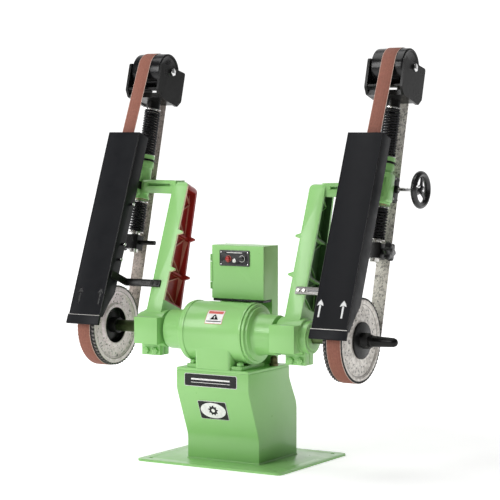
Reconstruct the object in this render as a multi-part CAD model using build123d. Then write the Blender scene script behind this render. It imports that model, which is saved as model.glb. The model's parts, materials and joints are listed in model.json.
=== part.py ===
from build123d import *
import os
from math import acos, atan2, cos, degrees, hypot, pi, radians, sin

os.makedirs("parts", exist_ok=True)

# Floor-standing twin belt grinder. One motor spindle carries a contact wheel at each end, and each
# wheel drives an abrasive belt up to an idler drum on its own leaning arm.
# Everything is modelled with the spindle axis over y = 0 and moved at export, so that the origin is
# the centre of the floor plate's underside. X runs along the spindle, the operator stands at -Y.

# ---- driving dimensions, mm ----
SPINDLE_Z = 560.0
PLATE_X, PLATE_Y, PLATE_T = 712.0, 586.0, 10.0
PLATE_CENTRE_Y = 138.0
PLATE_CORNER_R = 22.0
ANCHOR_X, ANCHOR_Y, ANCHOR_R = 620.0, 490.0, 9.0

PEDESTAL_HALF_X = 178.0
PEDESTAL_TOP_Z = 400.0
PEDESTAL_FRONT_TOP, PEDESTAL_FRONT_FOOT = -110.0, -22.0
PEDESTAL_REAR_TOP, PEDESTAL_REAR_FOOT = 232.0, 298.0
FRONT_BEND_HIGH_Z, FRONT_BEND_LOW_Z = 322.0, 112.0
REAR_BEND_HIGH_Z, REAR_BEND_LOW_Z = 355.0, 235.0
PEDESTAL_BEND_R = 90.0
SHEET_T = 5.0
TOP_PLATE_T = 12.0

BARREL_R, BARREL_HALF_X = 128.0, 148.0
STATOR_R, ROTOR_R, STATOR_HALF_X = 116.0, 78.0, 105.0
FOOT_HALF_X, FOOT_HALF_Y = 86.0, 112.0
FOOT_FLANGE_X, FOOT_FLANGE_T = 138.0, 16.0
FOOT_BOLT_X, FOOT_BOLT_Y = 116.0, 72.0
HOUSING_R, HOUSING_END_X = 56.0, 430.0
SHAFT_R = 25.0
BEARING_R, BEARING_W = 46.0, 26.0
BEARING_X = (236.0, 396.0)
RUNNING = 0.05

WHEEL_R, WHEEL_W = 175.0, 85.0
WHEEL_INNER_X = 564.0
DISC_R = 167.0
HUB_FLANGE_R, HUB_FLANGE_T = 76.0, 9.0
RECESS_DEPTH = 30.0
NOSE_START_X, NOSE_END_X = 690.0, 812.0

ARM_LEAN = 21.5
ARM_X0, ARM_X1 = 307.0, 382.0
ARM_FRONT = 60.0
ARM_TOP = 655.0
ARM_REAR_TOP, ARM_REAR_FOOT = -25.0, -98.0
LIMB_LOW, LIMB_HIGH = 574.0, 632.0
WEB_T = 14.0
HUB_X0, HUB_X1, HUB_R = 284.0, 398.0, 80.0
HUB_BOSS_X1, HUB_BOSS_R = 424.0, 68.0
BLOCK_X0, BLOCK_X1 = 278.0, 395.0
BLOCK_FRONT, BLOCK_LOW, BLOCK_HIGH = 110.0, -60.0, 54.0
CLAMP_BOLT_X = (336.0, 382.0)
CLAMP_BOLT_Z = -97.0
RIB_LEVELS = (250.0, 420.0)
RIB_T, RIB_HEIGHT = 4.0, 8.0
LUG_REACH = 24.0

ROD_R = 20.0
ROD_TILT = 7.5
ROD_REF_FORWARD, ROD_REF_UP = 40.0, 1178.0
HEAD_OFFSET = 18.0
DRUM_R, DRUM_HALF_X = 84.0, 74.0
CHEEK_T = 12.0
AXLE_R = 12.0
SLEEVE_R, SLEEVE_TOP, SLEEVE_FOOT = 33.0, -384.0, -584.0
BUSH_R, BUSH_LENGTH = 25.0, 30.0
UPPER_SPRING = (-378.0, -174.0)
UPPER_SPRING_R, UPPER_WIRE_R = 32.5, 4.6
LOWER_SPRING_R, LOWER_WIRE_R = 30.0, 4.2
LOWER_SPRING = (-734.0, -600.0)
STOP_TOP, STOP_FOOT = -750.0, -814.0
PINION_S = -512.0
PINION_TEETH, PINION_MODULE = 12, 2.5
PINION_BOSS_R = 25.0
HANDWHEEL_X, HANDWHEEL_R = 160.0, 78.0
HANDWHEEL_RIM_R = 12.0
KNOB_X0, KNOB_X1, KNOB_R = 50.0, 78.0, 30.0

BELT_W, BELT_T, BELT_GAP = 63.5, 1.8, 0.3
BELT_SHIFT_X = 8.0

GUARD_HALF_X, GUARD_SHIFT_X = 82.0, -5.0
GUARD_FRONT, GUARD_REAR, GUARD_SHEET = 197.0, 124.0, 3.0
GUARD_TOP, GUARD_FOOT, GUARD_LIP_FOOT = 831.0, -16.0, -56.0

BOX_HALF_X, BOX_FRONT, BOX_REAR = 131.0, 98.0, 218.0
BOX_LOW, BOX_HIGH = 692.0, 922.0
COLUMN_FRONT = 165.0
BOX_SHEET = 3.0
DOOR_T = 4.0
PANEL_X0, PANEL_X1, PANEL_LOW, PANEL_HIGH = -86.0, 63.0, 834.0, 901.0
PANEL_T = 4.0
STOP_X, STOP_Z = -42.0, 864.0
START_X, START_Z = 26.0, 866.0
LAMP_X, LAMP_Z = -12.0, 857.0
BUTTON_R, BUTTON_STEM_R = 10.5, 8.0

# ---- worked out from them ----
WHEEL_MID_X = WHEEL_INNER_X + WHEEL_W / 2
WHEEL_OUTER_X = WHEEL_INNER_X + WHEEL_W
TOP_PLATE_Z = PEDESTAL_TOP_Z + TOP_PLATE_T
PINION_R = PINION_TEETH * PINION_MODULE / 2
RACK_FLAT = 15.0
PINION_BACK = RACK_FLAT + PINION_R
GUARD_MID_X = WHEEL_MID_X + GUARD_SHIFT_X
BELT_MID_X = WHEEL_MID_X + BELT_SHIFT_X
PANEL_BACK = BOX_FRONT - 1.0 - DOOR_T
PANEL_FACE = PANEL_BACK - PANEL_T
FOOT_BOLTS = [(x, y) for x in (-FOOT_BOLT_X, FOOT_BOLT_X) for y in (-FOOT_BOLT_Y, FOOT_BOLT_Y)]
EXPORT_SHIFT = Pos(0, -PLATE_CENTRE_Y, 0)

SPINDLE = Pos(0, 0, SPINDLE_Z)
ARM = SPINDLE * Rot(-ARM_LEAN, 0, 0)
ROD = ARM * Pos(WHEEL_MID_X, -ROD_REF_FORWARD, ROD_REF_UP) * Rot(ROD_TILT, 0, 0)


def save(name, shape):
    """Writes one sub-part, moved so that the origin is the centre of the floor plate's underside."""
    export_step(EXPORT_SHIFT * shape, f"parts/{name}.step")


def block(x0, x1, y0, y1, z0, z1):
    """A box given by its six limits."""
    return Pos((x0 + x1) / 2, (y0 + y1) / 2, (z0 + z1) / 2) * Box(x1 - x0, y1 - y0, z1 - z0)


def along_x(radius, x0, x1, y=0.0, z=0.0):
    """A cylinder along X from x0 to x1."""
    return Pos((x0 + x1) / 2, y, z) * Rot(0, 90, 0) * Cylinder(radius, x1 - x0)


def along_y(radius, y0, y1, x=0.0, z=0.0):
    """A cylinder along Y from y0 to y1."""
    return Pos(x, (y0 + y1) / 2, z) * Rot(90, 0, 0) * Cylinder(radius, y1 - y0)


def along_z(radius, z0, z1, x=0.0, y=0.0):
    """An upright cylinder from z0 to z1."""
    return Pos(x, y, (z0 + z1) / 2) * Cylinder(radius, z1 - z0)


def hexagon(radius, x0, x1):
    """A hexagonal nut or bolt head along X."""
    return Pos(x0, 0, 0) * Rot(0, 90, 0) * extrude(RegularPolygon(radius, 6), x1 - x0)


def side_profile(points, x0, x1, radii=None):
    """Extrudes an outline of (y, z) points along X; radii maps a point's index to its corner radius."""
    face = Plane.YZ * make_face(Polyline(*points, close=True))
    for index, radius in (radii or {}).items():
        y, z = points[index]
        corner = face.vertices().sort_by_distance(Vector(0, y, z))[0]
        face = fillet(corner, radius)
    return Pos(x0, 0, 0) * extrude(face, amount=x1 - x0, dir=(1, 0, 0))


def revolved_x(profile):
    """Turns an outline of (x, radius) points about the X axis."""
    face = Plane.XZ * make_face(Polyline(*profile, close=True))
    return revolve(face, Axis.X)


def both_sides(name, right_shape):
    """Saves a sub-part of the right arm and its mirror image on the left arm."""
    save("right_" + name, right_shape)
    save("left_" + name, mirror(right_shape, about=Plane.YZ))


# ---- stand ----
def floor_plate():
    plate = block(-PLATE_X / 2, PLATE_X / 2, -PLATE_Y / 2, PLATE_Y / 2, 0, PLATE_T)
    plate = fillet(plate.edges().filter_by(Axis.Z), PLATE_CORNER_R)
    for x in (-ANCHOR_X / 2, ANCHOR_X / 2):
        for y in (-ANCHOR_Y / 2, ANCHOR_Y / 2):
            plate -= along_z(ANCHOR_R, -1, PLATE_T + 1, x, y)
    return Pos(0, PLATE_CENTRE_Y, 0) * plate


def pedestal_outline(inset, over):
    """The pedestal's S-curved side outline, inset from the outside and lengthened past its ends."""
    high, low = PEDESTAL_TOP_Z + over, PLATE_T - over
    return [
        (PEDESTAL_FRONT_TOP + inset, high),
        (PEDESTAL_FRONT_TOP + inset, FRONT_BEND_HIGH_Z),
        (PEDESTAL_FRONT_FOOT + inset, FRONT_BEND_LOW_Z),
        (PEDESTAL_FRONT_FOOT + inset, low),
        (PEDESTAL_REAR_FOOT - inset, low),
        (PEDESTAL_REAR_FOOT - inset, REAR_BEND_LOW_Z),
        (PEDESTAL_REAR_TOP - inset, REAR_BEND_HIGH_Z),
        (PEDESTAL_REAR_TOP - inset, high),
    ]


def pedestal_column():
    bends = {1: PEDESTAL_BEND_R, 2: PEDESTAL_BEND_R, 5: PEDESTAL_BEND_R, 6: PEDESTAL_BEND_R}
    outside = side_profile(pedestal_outline(0, 0), -PEDESTAL_HALF_X, PEDESTAL_HALF_X, bends)
    inner_x = PEDESTAL_HALF_X - SHEET_T
    inside = side_profile(pedestal_outline(SHEET_T, 20), -inner_x, inner_x, bends)
    return outside - inside


def pedestal_top_plate():
    plate = block(-PEDESTAL_HALF_X, PEDESTAL_HALF_X, PEDESTAL_FRONT_TOP, PEDESTAL_REAR_TOP, PEDESTAL_TOP_Z,
                  TOP_PLATE_Z)
    return fillet(plate.edges().filter_by(Axis.Z), 4)


def rear_access_cover():
    cover = block(-110, 110, PEDESTAL_REAR_FOOT, PEDESTAL_REAR_FOOT + 3, 60, 200)
    cover = fillet(cover.edges().filter_by(Axis.Y), 8)
    for x in (-98, 98):
        for z in (72, 188):
            cover += along_y(5, PEDESTAL_REAR_FOOT + 3, PEDESTAL_REAR_FOOT + 6, x, z)
    return cover


def nameplate():
    plate = block(-137, 123, PEDESTAL_FRONT_TOP - 2, PEDESTAL_FRONT_TOP, 335, 390)
    return fillet(plate.edges().filter_by(Axis.Y), 8)


def emblem_plate():
    """A plate 140 by 88 on the sloping part of the pedestal's front."""
    run_y = PEDESTAL_FRONT_FOOT - PEDESTAL_FRONT_TOP
    run_z = FRONT_BEND_HIGH_Z - FRONT_BEND_LOW_Z
    centre_z = 233.0
    centre_y = PEDESTAL_FRONT_TOP + run_y * (FRONT_BEND_HIGH_Z - centre_z) / run_z
    face = Plane(origin=(-16, centre_y, centre_z), x_dir=(1, 0, 0), z_dir=(0, -run_z, -run_y))
    return extrude(face * RectangleRounded(140, 88, 5), 2)


def cable_gland():
    """Gland that takes the motor lead down through the top plate."""
    gland = along_z(19, TOP_PLATE_Z, TOP_PLATE_Z + 12) + along_z(15, TOP_PLATE_Z + 12, TOP_PLATE_Z + 30)
    dome = Pos(0, 0, TOP_PLATE_Z + 30) * Sphere(15)
    return Pos(160, 132, 0) * (gland + (dome & along_z(15, TOP_PLATE_Z + 30, TOP_PLATE_Z + 45)))


# ---- motor ----
def motor_frame():
    """Barrel with its saddle foot and bolted flanges."""
    foot = block(-FOOT_HALF_X, FOOT_HALF_X, -FOOT_HALF_Y, FOOT_HALF_Y, TOP_PLATE_Z, SPINDLE_Z)
    foot = fillet(foot.edges().filter_by(Axis.Z), 14)
    flange = block(-FOOT_FLANGE_X, FOOT_FLANGE_X, -96, 96, TOP_PLATE_Z, TOP_PLATE_Z + FOOT_FLANGE_T)
    flange = fillet(flange.edges().filter_by(Axis.Z), 10)
    ring = 3.0
    body = SPINDLE * along_x(BARREL_R, -BARREL_HALF_X, BARREL_HALF_X)
    for x in (-BARREL_HALF_X, BARREL_HALF_X - 14):
        body += SPINDLE * along_x(BARREL_R + ring, x, x + 14)
    body = body + foot + flange
    body -= SPINDLE * along_x(STATOR_R, -BARREL_HALF_X - 1, BARREL_HALF_X + 1)
    for x, y in FOOT_BOLTS:
        body -= along_z(8.5, TOP_PLATE_Z - 1, TOP_PLATE_Z + FOOT_FLANGE_T + 1, x, y)
    return body


def motor_foot_bolts():
    """Studs with their nuts on the foot flanges."""
    bolts = []
    for x, y in FOOT_BOLTS:
        top = TOP_PLATE_Z + FOOT_FLANGE_T
        nut = Pos(x, y, top) * extrude(RegularPolygon(16, 6), 13)
        bolts.append(nut + along_z(8, TOP_PLATE_Z, top + 16, x, y))
    return Compound(children=bolts)


def end_bell():
    """Right end bell and the long spindle housing that the arm is clamped round."""
    start = BARREL_HALF_X
    outer = [
        (start, STATOR_R - 6), (start, BARREL_R - 2), (start + 14, BARREL_R - 2), (start + 14, 114),
        (start + 24, 114), (start + 28, 92), (start + 40, 86), (start + 118, 84), (start + 122, HOUSING_R),
        (HOUSING_END_X - 4, HOUSING_R), (HOUSING_END_X, 52),
        (HOUSING_END_X, SHAFT_R + 1), (HOUSING_END_X - 8, SHAFT_R + 1), (HOUSING_END_X - 8, BEARING_R),
        (BEARING_X[0] - 6, BEARING_R), (BEARING_X[0] - 6, 32), (BEARING_X[0] - 16, 32),
        (BEARING_X[0] - 16, 74), (start + 18, 74), (start + 18, STATOR_R - 6),
    ]
    return SPINDLE * revolved_x(outer)


def spindle_bearings():
    rings = []
    for x in BEARING_X:
        ring = along_x(BEARING_R, x, x + BEARING_W) - along_x(SHAFT_R + RUNNING, x - 1, x + BEARING_W + 1)
        rings.append(SPINDLE * ring)
        rings.append(mirror(SPINDLE * ring, about=Plane.YZ))
    return Compound(children=rings)


def motor_stator():
    ring = along_x(STATOR_R, -STATOR_HALF_X, STATOR_HALF_X)
    return SPINDLE * (ring - along_x(ROTOR_R + 2, -STATOR_HALF_X - 1, STATOR_HALF_X + 1))


# ---- spindle ----
def motor_rotor():
    return SPINDLE * (along_x(ROTOR_R, -98, 98) - along_x(SHAFT_R, -99, 99))


def spindle_shaft():
    return SPINDLE * along_x(SHAFT_R, -NOSE_START_X, NOSE_START_X)


def contact_wheel():
    """Cast disc with a deep recess on its inboard face, where the shaft enters."""
    outline = [
        (WHEEL_INNER_X + RECESS_DEPTH, SHAFT_R), (WHEEL_INNER_X + RECESS_DEPTH, HUB_FLANGE_R),
        (WHEEL_INNER_X + 2, HUB_FLANGE_R + 2), (WHEEL_INNER_X + 2, HUB_FLANGE_R + 14),
        (WHEEL_INNER_X + 8, HUB_FLANGE_R + 20), (WHEEL_INNER_X + 8, DISC_R - 22),
        (WHEEL_INNER_X + 1, DISC_R - 14), (WHEEL_INNER_X + 1, DISC_R), (WHEEL_OUTER_X - 1, DISC_R),
        (WHEEL_OUTER_X - 1, DISC_R - 14), (WHEEL_OUTER_X - 8, DISC_R - 22),
        (WHEEL_OUTER_X - 8, HUB_FLANGE_R + 20), (WHEEL_OUTER_X - 2, HUB_FLANGE_R + 14),
        (WHEEL_OUTER_X - 2, SHAFT_R),
    ]
    return SPINDLE * revolved_x(outline)


def wheel_tyre():
    tyre = along_x(WHEEL_R, WHEEL_INNER_X, WHEEL_OUTER_X)
    return SPINDLE * (tyre - along_x(DISC_R, WHEEL_INNER_X - 1, WHEEL_OUTER_X + 1))


def wheel_flanges():
    """Clamping flanges with their nuts: one each side of each wheel."""
    outer_x = WHEEL_OUTER_X - 2
    outer = along_x(HUB_FLANGE_R, outer_x, outer_x + HUB_FLANGE_T)
    outer += hexagon(33, outer_x + HUB_FLANGE_T, NOSE_START_X)
    outer -= along_x(SHAFT_R, outer_x - 1, NOSE_START_X + 1)
    inner_x = WHEEL_INNER_X + RECESS_DEPTH
    inner = along_x(60, inner_x - 8, inner_x) + along_x(34, inner_x - 44, inner_x - 8)
    inner -= along_x(SHAFT_R, inner_x - 50, inner_x + 1)
    pieces = [SPINDLE * outer, SPINDLE * inner]
    return Compound(children=pieces + [mirror(p, about=Plane.YZ) for p in pieces])


def taper_nose():
    """Tapered nose on the right-hand shaft end, for a polishing mop."""
    tip = NOSE_END_X
    outline = [(NOSE_START_X, 0), (NOSE_START_X, 27), (NOSE_START_X + 8, 27), (NOSE_START_X + 12, 23),
               (tip - 16, 19), (tip - 6, 15), (tip, 7), (tip, 0)]
    return SPINDLE * revolved_x(outline)


# ---- control box ----
def control_box_body():
    box = block(-BOX_HALF_X, BOX_HALF_X, BOX_FRONT, BOX_REAR, BOX_LOW, BOX_HIGH)
    column = block(-BOX_HALF_X, BOX_HALF_X, COLUMN_FRONT, BOX_REAR, TOP_PLATE_Z, BOX_LOW + 1)
    shell = fillet((box + column).edges().filter_by(Axis.Z), 3)
    inner_x = BOX_HALF_X - BOX_SHEET
    shell -= block(-inner_x, inner_x, BOX_FRONT - 1, BOX_REAR - BOX_SHEET, BOX_LOW + BOX_SHEET,
                   BOX_HIGH - BOX_SHEET)
    shell -= block(-inner_x, inner_x, COLUMN_FRONT + BOX_SHEET, BOX_REAR - BOX_SHEET,
                   TOP_PLATE_Z + BOX_SHEET, BOX_LOW + BOX_SHEET + 1)
    hinge = along_z(4, BOX_LOW + 40, BOX_LOW + 70) + along_z(4, BOX_HIGH - 70, BOX_HIGH - 40)
    leaf = block(-3, 3, 0, 9, BOX_LOW + 40, BOX_LOW + 70) + block(-3, 3, 0, 9, BOX_HIGH - 70, BOX_HIGH - 40)
    return shell + Pos(-BOX_HALF_X - 1, BOX_FRONT - 4, 0) * (hinge + leaf)


def control_box_door():
    gap = 1.0
    door = block(-BOX_HALF_X + 5, BOX_HALF_X, BOX_FRONT - gap - DOOR_T, BOX_FRONT - gap, BOX_LOW + 1, BOX_HIGH - 1)
    door = fillet(door.edges().filter_by(Axis.Y), 4)
    door -= along_y(BUTTON_STEM_R + 0.4, 0, BOX_FRONT, STOP_X, STOP_Z)
    door -= along_y(BUTTON_STEM_R + 0.4, 0, BOX_FRONT, START_X, START_Z)
    knuckle = Pos(-BOX_HALF_X - 1, BOX_FRONT - 4, 0) * along_z(4, BOX_LOW + 72, BOX_HIGH - 72)
    strap = block(-BOX_HALF_X - 1, -BOX_HALF_X + 8, BOX_FRONT - 8, BOX_FRONT - 5, BOX_LOW + 72, BOX_HIGH - 72)
    return door + knuckle + strap


def switch_panel():
    panel = block(PANEL_X0, PANEL_X1, PANEL_FACE, PANEL_BACK, PANEL_LOW, PANEL_HIGH)
    panel = fillet(panel.edges().filter_by(Axis.Y), 4)
    panel -= along_y(BUTTON_STEM_R + 0.4, 0, BOX_FRONT, STOP_X, STOP_Z)
    panel -= along_y(BUTTON_STEM_R + 0.4, 0, BOX_FRONT, START_X, START_Z)
    for x in (PANEL_X0 + 8, PANEL_X1 - 8):
        for z in (PANEL_LOW + 8, PANEL_HIGH - 8):
            panel += along_y(3.5, PANEL_FACE - 2, PANEL_FACE, x, z)
    return panel


def push_button(x, z):
    cap = along_y(BUTTON_R, PANEL_FACE - 11, PANEL_FACE - 5, x, z)
    cap = fillet(cap.edges().filter_by(GeomType.CIRCLE).sort_by(Axis.Y)[0], 2)
    return cap + along_y(BUTTON_STEM_R, PANEL_FACE - 5, BOX_FRONT + 8, x, z)


def indicator_lamp():
    base = along_y(7, PANEL_FACE - 5, PANEL_FACE, LAMP_X, LAMP_Z)
    return fillet(base.edges().filter_by(GeomType.CIRCLE).sort_by(Axis.Y)[0], 4)


def contactor():
    unit = block(-60, 40, BOX_REAR - BOX_SHEET - 62, BOX_REAR - BOX_SHEET, 740, 850)
    return fillet(unit.edges().filter_by(Axis.Y), 5)


# ---- arm, modelled on the right-hand side ----
def in_arm(forward, up):
    """A (y, z) point of the arm's upright frame, from the distances forward of and above the spindle."""
    return (-forward, up)


def arm_hub():
    """Split clamp round the spindle housing, with the square block at its front."""
    hub = along_x(HUB_R, HUB_X0, HUB_X1) + along_x(HUB_BOSS_R, HUB_X1 - 1, HUB_BOSS_X1)
    hub += block(BLOCK_X0, BLOCK_X1, -BLOCK_FRONT, 0, BLOCK_LOW, BLOCK_HIGH)
    hub += block(312, 406, -34, 34, -116, -50)
    hub -= along_x(HOUSING_R + RUNNING, BLOCK_X0 - 1, HUB_BOSS_X1 + 1)
    hub -= block(HUB_X0 - 10, HUB_BOSS_X1 + 1, -2, 2, -117, -40)
    for x in CLAMP_BOLT_X:
        hub -= along_y(8.5, -40, 40, x, CLAMP_BOLT_Z)
    return hub


def rear_edge(up):
    """How far forward of the spindle the beam's rear edge is at a height up the arm."""
    share = (up - 60.0) / (640.0 - 60.0)
    return ARM_REAR_FOOT + share * (ARM_REAR_TOP - ARM_REAR_FOOT)


def beam_side_pocket(x0, x1):
    """Recess in one side of the beam, between its front and rear flanges."""
    flange = 11.0
    low, high = 118.0, ARM_TOP - 32
    corners = [in_arm(ARM_FRONT - flange, low), in_arm(ARM_FRONT - flange, high),
               in_arm(rear_edge(high) + flange, high), in_arm(rear_edge(low) + flange, low)]
    return side_profile(corners, x0, x1)


def zigzag_ribs(x0, x1):
    """Low bracing ribs that run to and fro across the recess."""
    levels = [118, 185, 250, 335, 420, 505, 575, 633]
    ribs = None
    for index in range(len(levels) - 1):
        low, high = levels[index], levels[index + 1]
        start = ARM_FRONT - 6 if index % 2 else rear_edge(low) + 6
        end = rear_edge(high) + 6 if index % 2 else ARM_FRONT - 6
        run = hypot(end - start, high - low)
        bar = Box(x1 - x0, RIB_T, run)
        turn = degrees(atan2(end - start, high - low))
        placed = Pos((x0 + x1) / 2, -(start + end) / 2, (low + high) / 2) * Rot(turn, 0, 0) * bar
        ribs = placed if ribs is None else ribs + placed
    return ribs


def beam_lugs():
    """Tapered lugs on the inboard edges of both flanges, at the two level ribs."""
    lugs = None
    for level in RIB_LEVELS:
        tip = [(ARM_X0 - LUG_REACH, level - 4), (ARM_X0 - LUG_REACH, level + 4), (ARM_X0 + 6, level + 14),
               (ARM_X0 + 6, level - 14)]
        for forward in (ARM_FRONT, rear_edge(level) + 11):
            face = Plane.XZ * make_face(Polyline(*tip, close=True))
            lug = Pos(0, -forward + 11, 0) * extrude(face, 11)
            lugs = lug if lugs is None else lugs + lug
    return lugs


def arm_beam():
    outline = [in_arm(ARM_FRONT, 30), in_arm(ARM_FRONT, ARM_TOP), in_arm(ARM_REAR_TOP, ARM_TOP),
               in_arm(rear_edge(44), 44), in_arm(-60, 30)]
    envelope = block(ARM_X0, ARM_X1, -ARM_FRONT - 1, 120, 0, ARM_TOP)
    top_edges = envelope.edges().filter_by(Axis.Y).sort_by(Axis.Z)[-2:]
    envelope = fillet(top_edges.sort_by(Axis.X)[0], 28)
    beam = side_profile(outline, ARM_X0, ARM_X1, {1: 16, 2: 24}) & envelope
    web0 = (ARM_X0 + ARM_X1 - WEB_T) / 2
    web1 = web0 + WEB_T
    beam -= beam_side_pocket(ARM_X0 - 1, web0) + beam_side_pocket(web1, ARM_X1 + 1)
    for level in RIB_LEVELS:
        beam += block(ARM_X0 + 6, ARM_X1 - 6, -ARM_FRONT + 4, -rear_edge(level) - 2, level - 4, level + 4)
    inboard = zigzag_ribs(web0 - RIB_HEIGHT, web0 + 1)
    outboard = zigzag_ribs(web1 - 1, web1 + RIB_HEIGHT)
    return beam + inboard + outboard + beam_lugs()


def arm_limb():
    """Upper limb out to the sleeve, with a groove along its front and a pocket in its top."""
    x0, x1 = ARM_X1 - 14, WHEEL_MID_X - 22
    ends = [(x0, 176.0, 250.0), (x1, 232.0, 292.0)]

    def across(x, front_inset, rear_inset):
        share = (x - x0) / (x1 - x0)
        front = ends[0][1] + share * (ends[1][1] - ends[0][1])
        rear = ends[0][2] + share * (ends[1][2] - ends[0][2])
        return (x, front + front_inset), (x, rear - rear_inset)

    def strip(start, end, front_inset, rear_inset):
        near = across(start, front_inset, rear_inset)
        far = across(end, front_inset, rear_inset)
        return make_face(Polyline(near[0], far[0], far[1], near[1], close=True))

    limb = Pos(0, 0, LIMB_LOW) * extrude(strip(x0, x1, 0, 0), LIMB_HIGH - LIMB_LOW)
    start, end = x0 + 34, x1 - 34
    groove = strip(start, end, -1, 48)
    pocket = strip(start, end, 14, 14)
    limb -= Pos(0, 0, LIMB_LOW + 32) * extrude(groove, 12)
    return limb - Pos(0, 0, LIMB_HIGH - 10) * extrude(pocket, 11)


def arm_sleeve():
    """Sleeve that guides the tension rod, with the cross bore for the pinion, in the rod's frame."""
    sleeve = along_z(SLEEVE_R, SLEEVE_FOOT, SLEEVE_TOP)
    for low, high in ((SLEEVE_TOP - 18, SLEEVE_TOP), (SLEEVE_TOP - 56, SLEEVE_TOP - 28),
                      (SLEEVE_FOOT, SLEEVE_FOOT + 10)):
        sleeve += along_z(SLEEVE_R + 5, low, high)
    boss = Pos(0, PINION_BACK, PINION_S) * along_x(PINION_BOSS_R, -32, 44)
    neck = block(-26, 40, 0, PINION_BACK, PINION_S - PINION_BOSS_R, PINION_S + PINION_BOSS_R)
    pad = block(-14, 50, -48, 0, PINION_S - 66, PINION_S + 58)
    pad = fillet(pad.edges().filter_by(Axis.Y), 10)
    pad -= block(2, 34, -49, -36, PINION_S - 44, PINION_S + 38)
    return sleeve + boss + neck + pad


def sleeve_bores():
    """Everything bored out of the sleeve, in the rod's frame."""
    bore = along_z(ROD_R + RUNNING, SLEEVE_FOOT - 1, SLEEVE_TOP + 1)
    bore += along_z(BUSH_R, SLEEVE_TOP - BUSH_LENGTH, SLEEVE_TOP + 1)
    bore += along_z(BUSH_R, SLEEVE_FOOT - 1, SLEEVE_FOOT + BUSH_LENGTH)
    chamber = along_x(PINION_R + PINION_MODULE + 1.5, -19, 19)
    cross = Pos(0, PINION_BACK, PINION_S) * (chamber + along_x(8 + RUNNING, -28, 51))
    return bore + cross


def arm_frame():
    frame = SPINDLE * (arm_hub() + arm_limb()) + ARM * arm_beam() + ROD * arm_sleeve()
    frame -= SPINDLE * along_x(HOUSING_R + RUNNING, BLOCK_X0 - 1, HUB_BOSS_X1 + 1)
    return frame - ROD * sleeve_bores()


def clamp_bolts():
    bolts = []
    for x in CLAMP_BOLT_X:
        head = Pos(x, -34, CLAMP_BOLT_Z) * Rot(90, 0, 0) * extrude(RegularPolygon(15, 6), 10)
        nut = Pos(x, 44, CLAMP_BOLT_Z) * Rot(90, 0, 0) * extrude(RegularPolygon(15, 6), 10)
        bolts.append(SPINDLE * (head + nut + along_y(8, -34, 50, x, CLAMP_BOLT_Z)))
    return Compound(children=bolts)


def guide_bushes():
    bushes = []
    for low in (SLEEVE_FOOT, SLEEVE_TOP - BUSH_LENGTH):
        ring = along_z(BUSH_R, low, low + BUSH_LENGTH)
        bushes.append(ROD * (ring - along_z(ROD_R + RUNNING, low - 1, low + BUSH_LENGTH + 1)))
    return Compound(children=bushes)


# ---- head on the tension rod ----
def rack_slots():
    """Tooth spaces of the rack cut in the rod's rear flat."""
    pitch = pi * PINION_MODULE
    half_top, half_foot, depth = 0.36 * pitch, 0.22 * pitch, 2.3 * PINION_MODULE
    cuts = None
    for index in range(-9, 10):
        s = PINION_S + index * pitch
        face = RACK_FLAT + PINION_MODULE
        points = [(face + 1, s - half_top), (face + 1, s + half_top), (face - depth, s + half_foot),
                  (face - depth, s - half_foot)]
        cut = side_profile(points, -ROD_R, ROD_R)
        cuts = cut if cuts is None else cuts + cut
    return cuts


def tension_rod():
    rod = along_z(ROD_R, STOP_FOOT - 14, -112)
    rack_half = 10 * pi * PINION_MODULE
    flat = block(-ROD_R - 1, ROD_R + 1, RACK_FLAT + PINION_MODULE, ROD_R + 1, PINION_S - rack_half,
                 PINION_S + rack_half)
    washers = along_z(33, LOWER_SPRING[0] - 5, LOWER_SPRING[0])
    return ROD * (rod - flat - rack_slots() + washers)


def idler_yoke():
    """Two cheeks beside the drum, joined below it by a web with the rod's socket."""
    outline = [(-104, 22), (-107, -104), (-84, -132), (60, -142), (88, -112), (91, 24)]
    inner = DRUM_HALF_X + 3
    cheek = side_profile(outline, inner, inner + CHEEK_T, {0: 10, 1: 14, 2: 14, 3: 14, 4: 14, 5: 10})
    web = block(-inner - 1, inner + 1, -86, 60, -134, -112)
    socket = along_z(31, -166, -112)
    tie = along_x(7, -inner - 1, inner + 1, -96, -96)
    yoke = cheek + mirror(cheek, about=Plane.YZ) + web + socket + tie
    yoke -= along_z(ROD_R, -167, -112)
    yoke -= along_x(AXLE_R, -100, 100, -HEAD_OFFSET, 0)
    return ROD * yoke


def idler_axle():
    end = DRUM_HALF_X + 3 + CHEEK_T
    axle = along_x(AXLE_R, -end, end)
    for x0, x1 in ((-end - 10, -end), (end, end + 10)):
        axle += hexagon(18, x0, x1)
    return ROD * Pos(0, -HEAD_OFFSET, 0) * axle


def idler_drum():
    crown = 1.5
    edge = DRUM_R - crown
    outline = [(-DRUM_HALF_X, AXLE_R + RUNNING), (-DRUM_HALF_X, 26), (-DRUM_HALF_X + 6, 30),
               (-DRUM_HALF_X + 6, edge - 14), (-DRUM_HALF_X, edge - 10), (-DRUM_HALF_X, edge - 3),
               (-DRUM_HALF_X + 3, edge), (-20, DRUM_R), (20, DRUM_R), (DRUM_HALF_X - 3, edge),
               (DRUM_HALF_X, edge - 3), (DRUM_HALF_X, edge - 10), (DRUM_HALF_X - 6, edge - 14),
               (DRUM_HALF_X - 6, 30), (DRUM_HALF_X, 26), (DRUM_HALF_X, AXLE_R + RUNNING)]
    return ROD * Pos(0, -HEAD_OFFSET, 0) * revolved_x(outline)


def rod_stop_block():
    """Block fixed on the rod's lower end, with a stub on its inboard side."""
    body = block(-29, 34, -29, 29, STOP_FOOT, STOP_TOP)
    body = fillet(body.edges().filter_by(Axis.Z), 6)
    middle = (STOP_FOOT + STOP_TOP) / 2
    body += along_x(10, -108, -28, 0, middle)
    body -= along_z(ROD_R, STOP_FOOT - 1, STOP_TOP + 1)
    return ROD * (body - along_x(6 + RUNNING, ROD_R - 1, 36, 0, middle))


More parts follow.
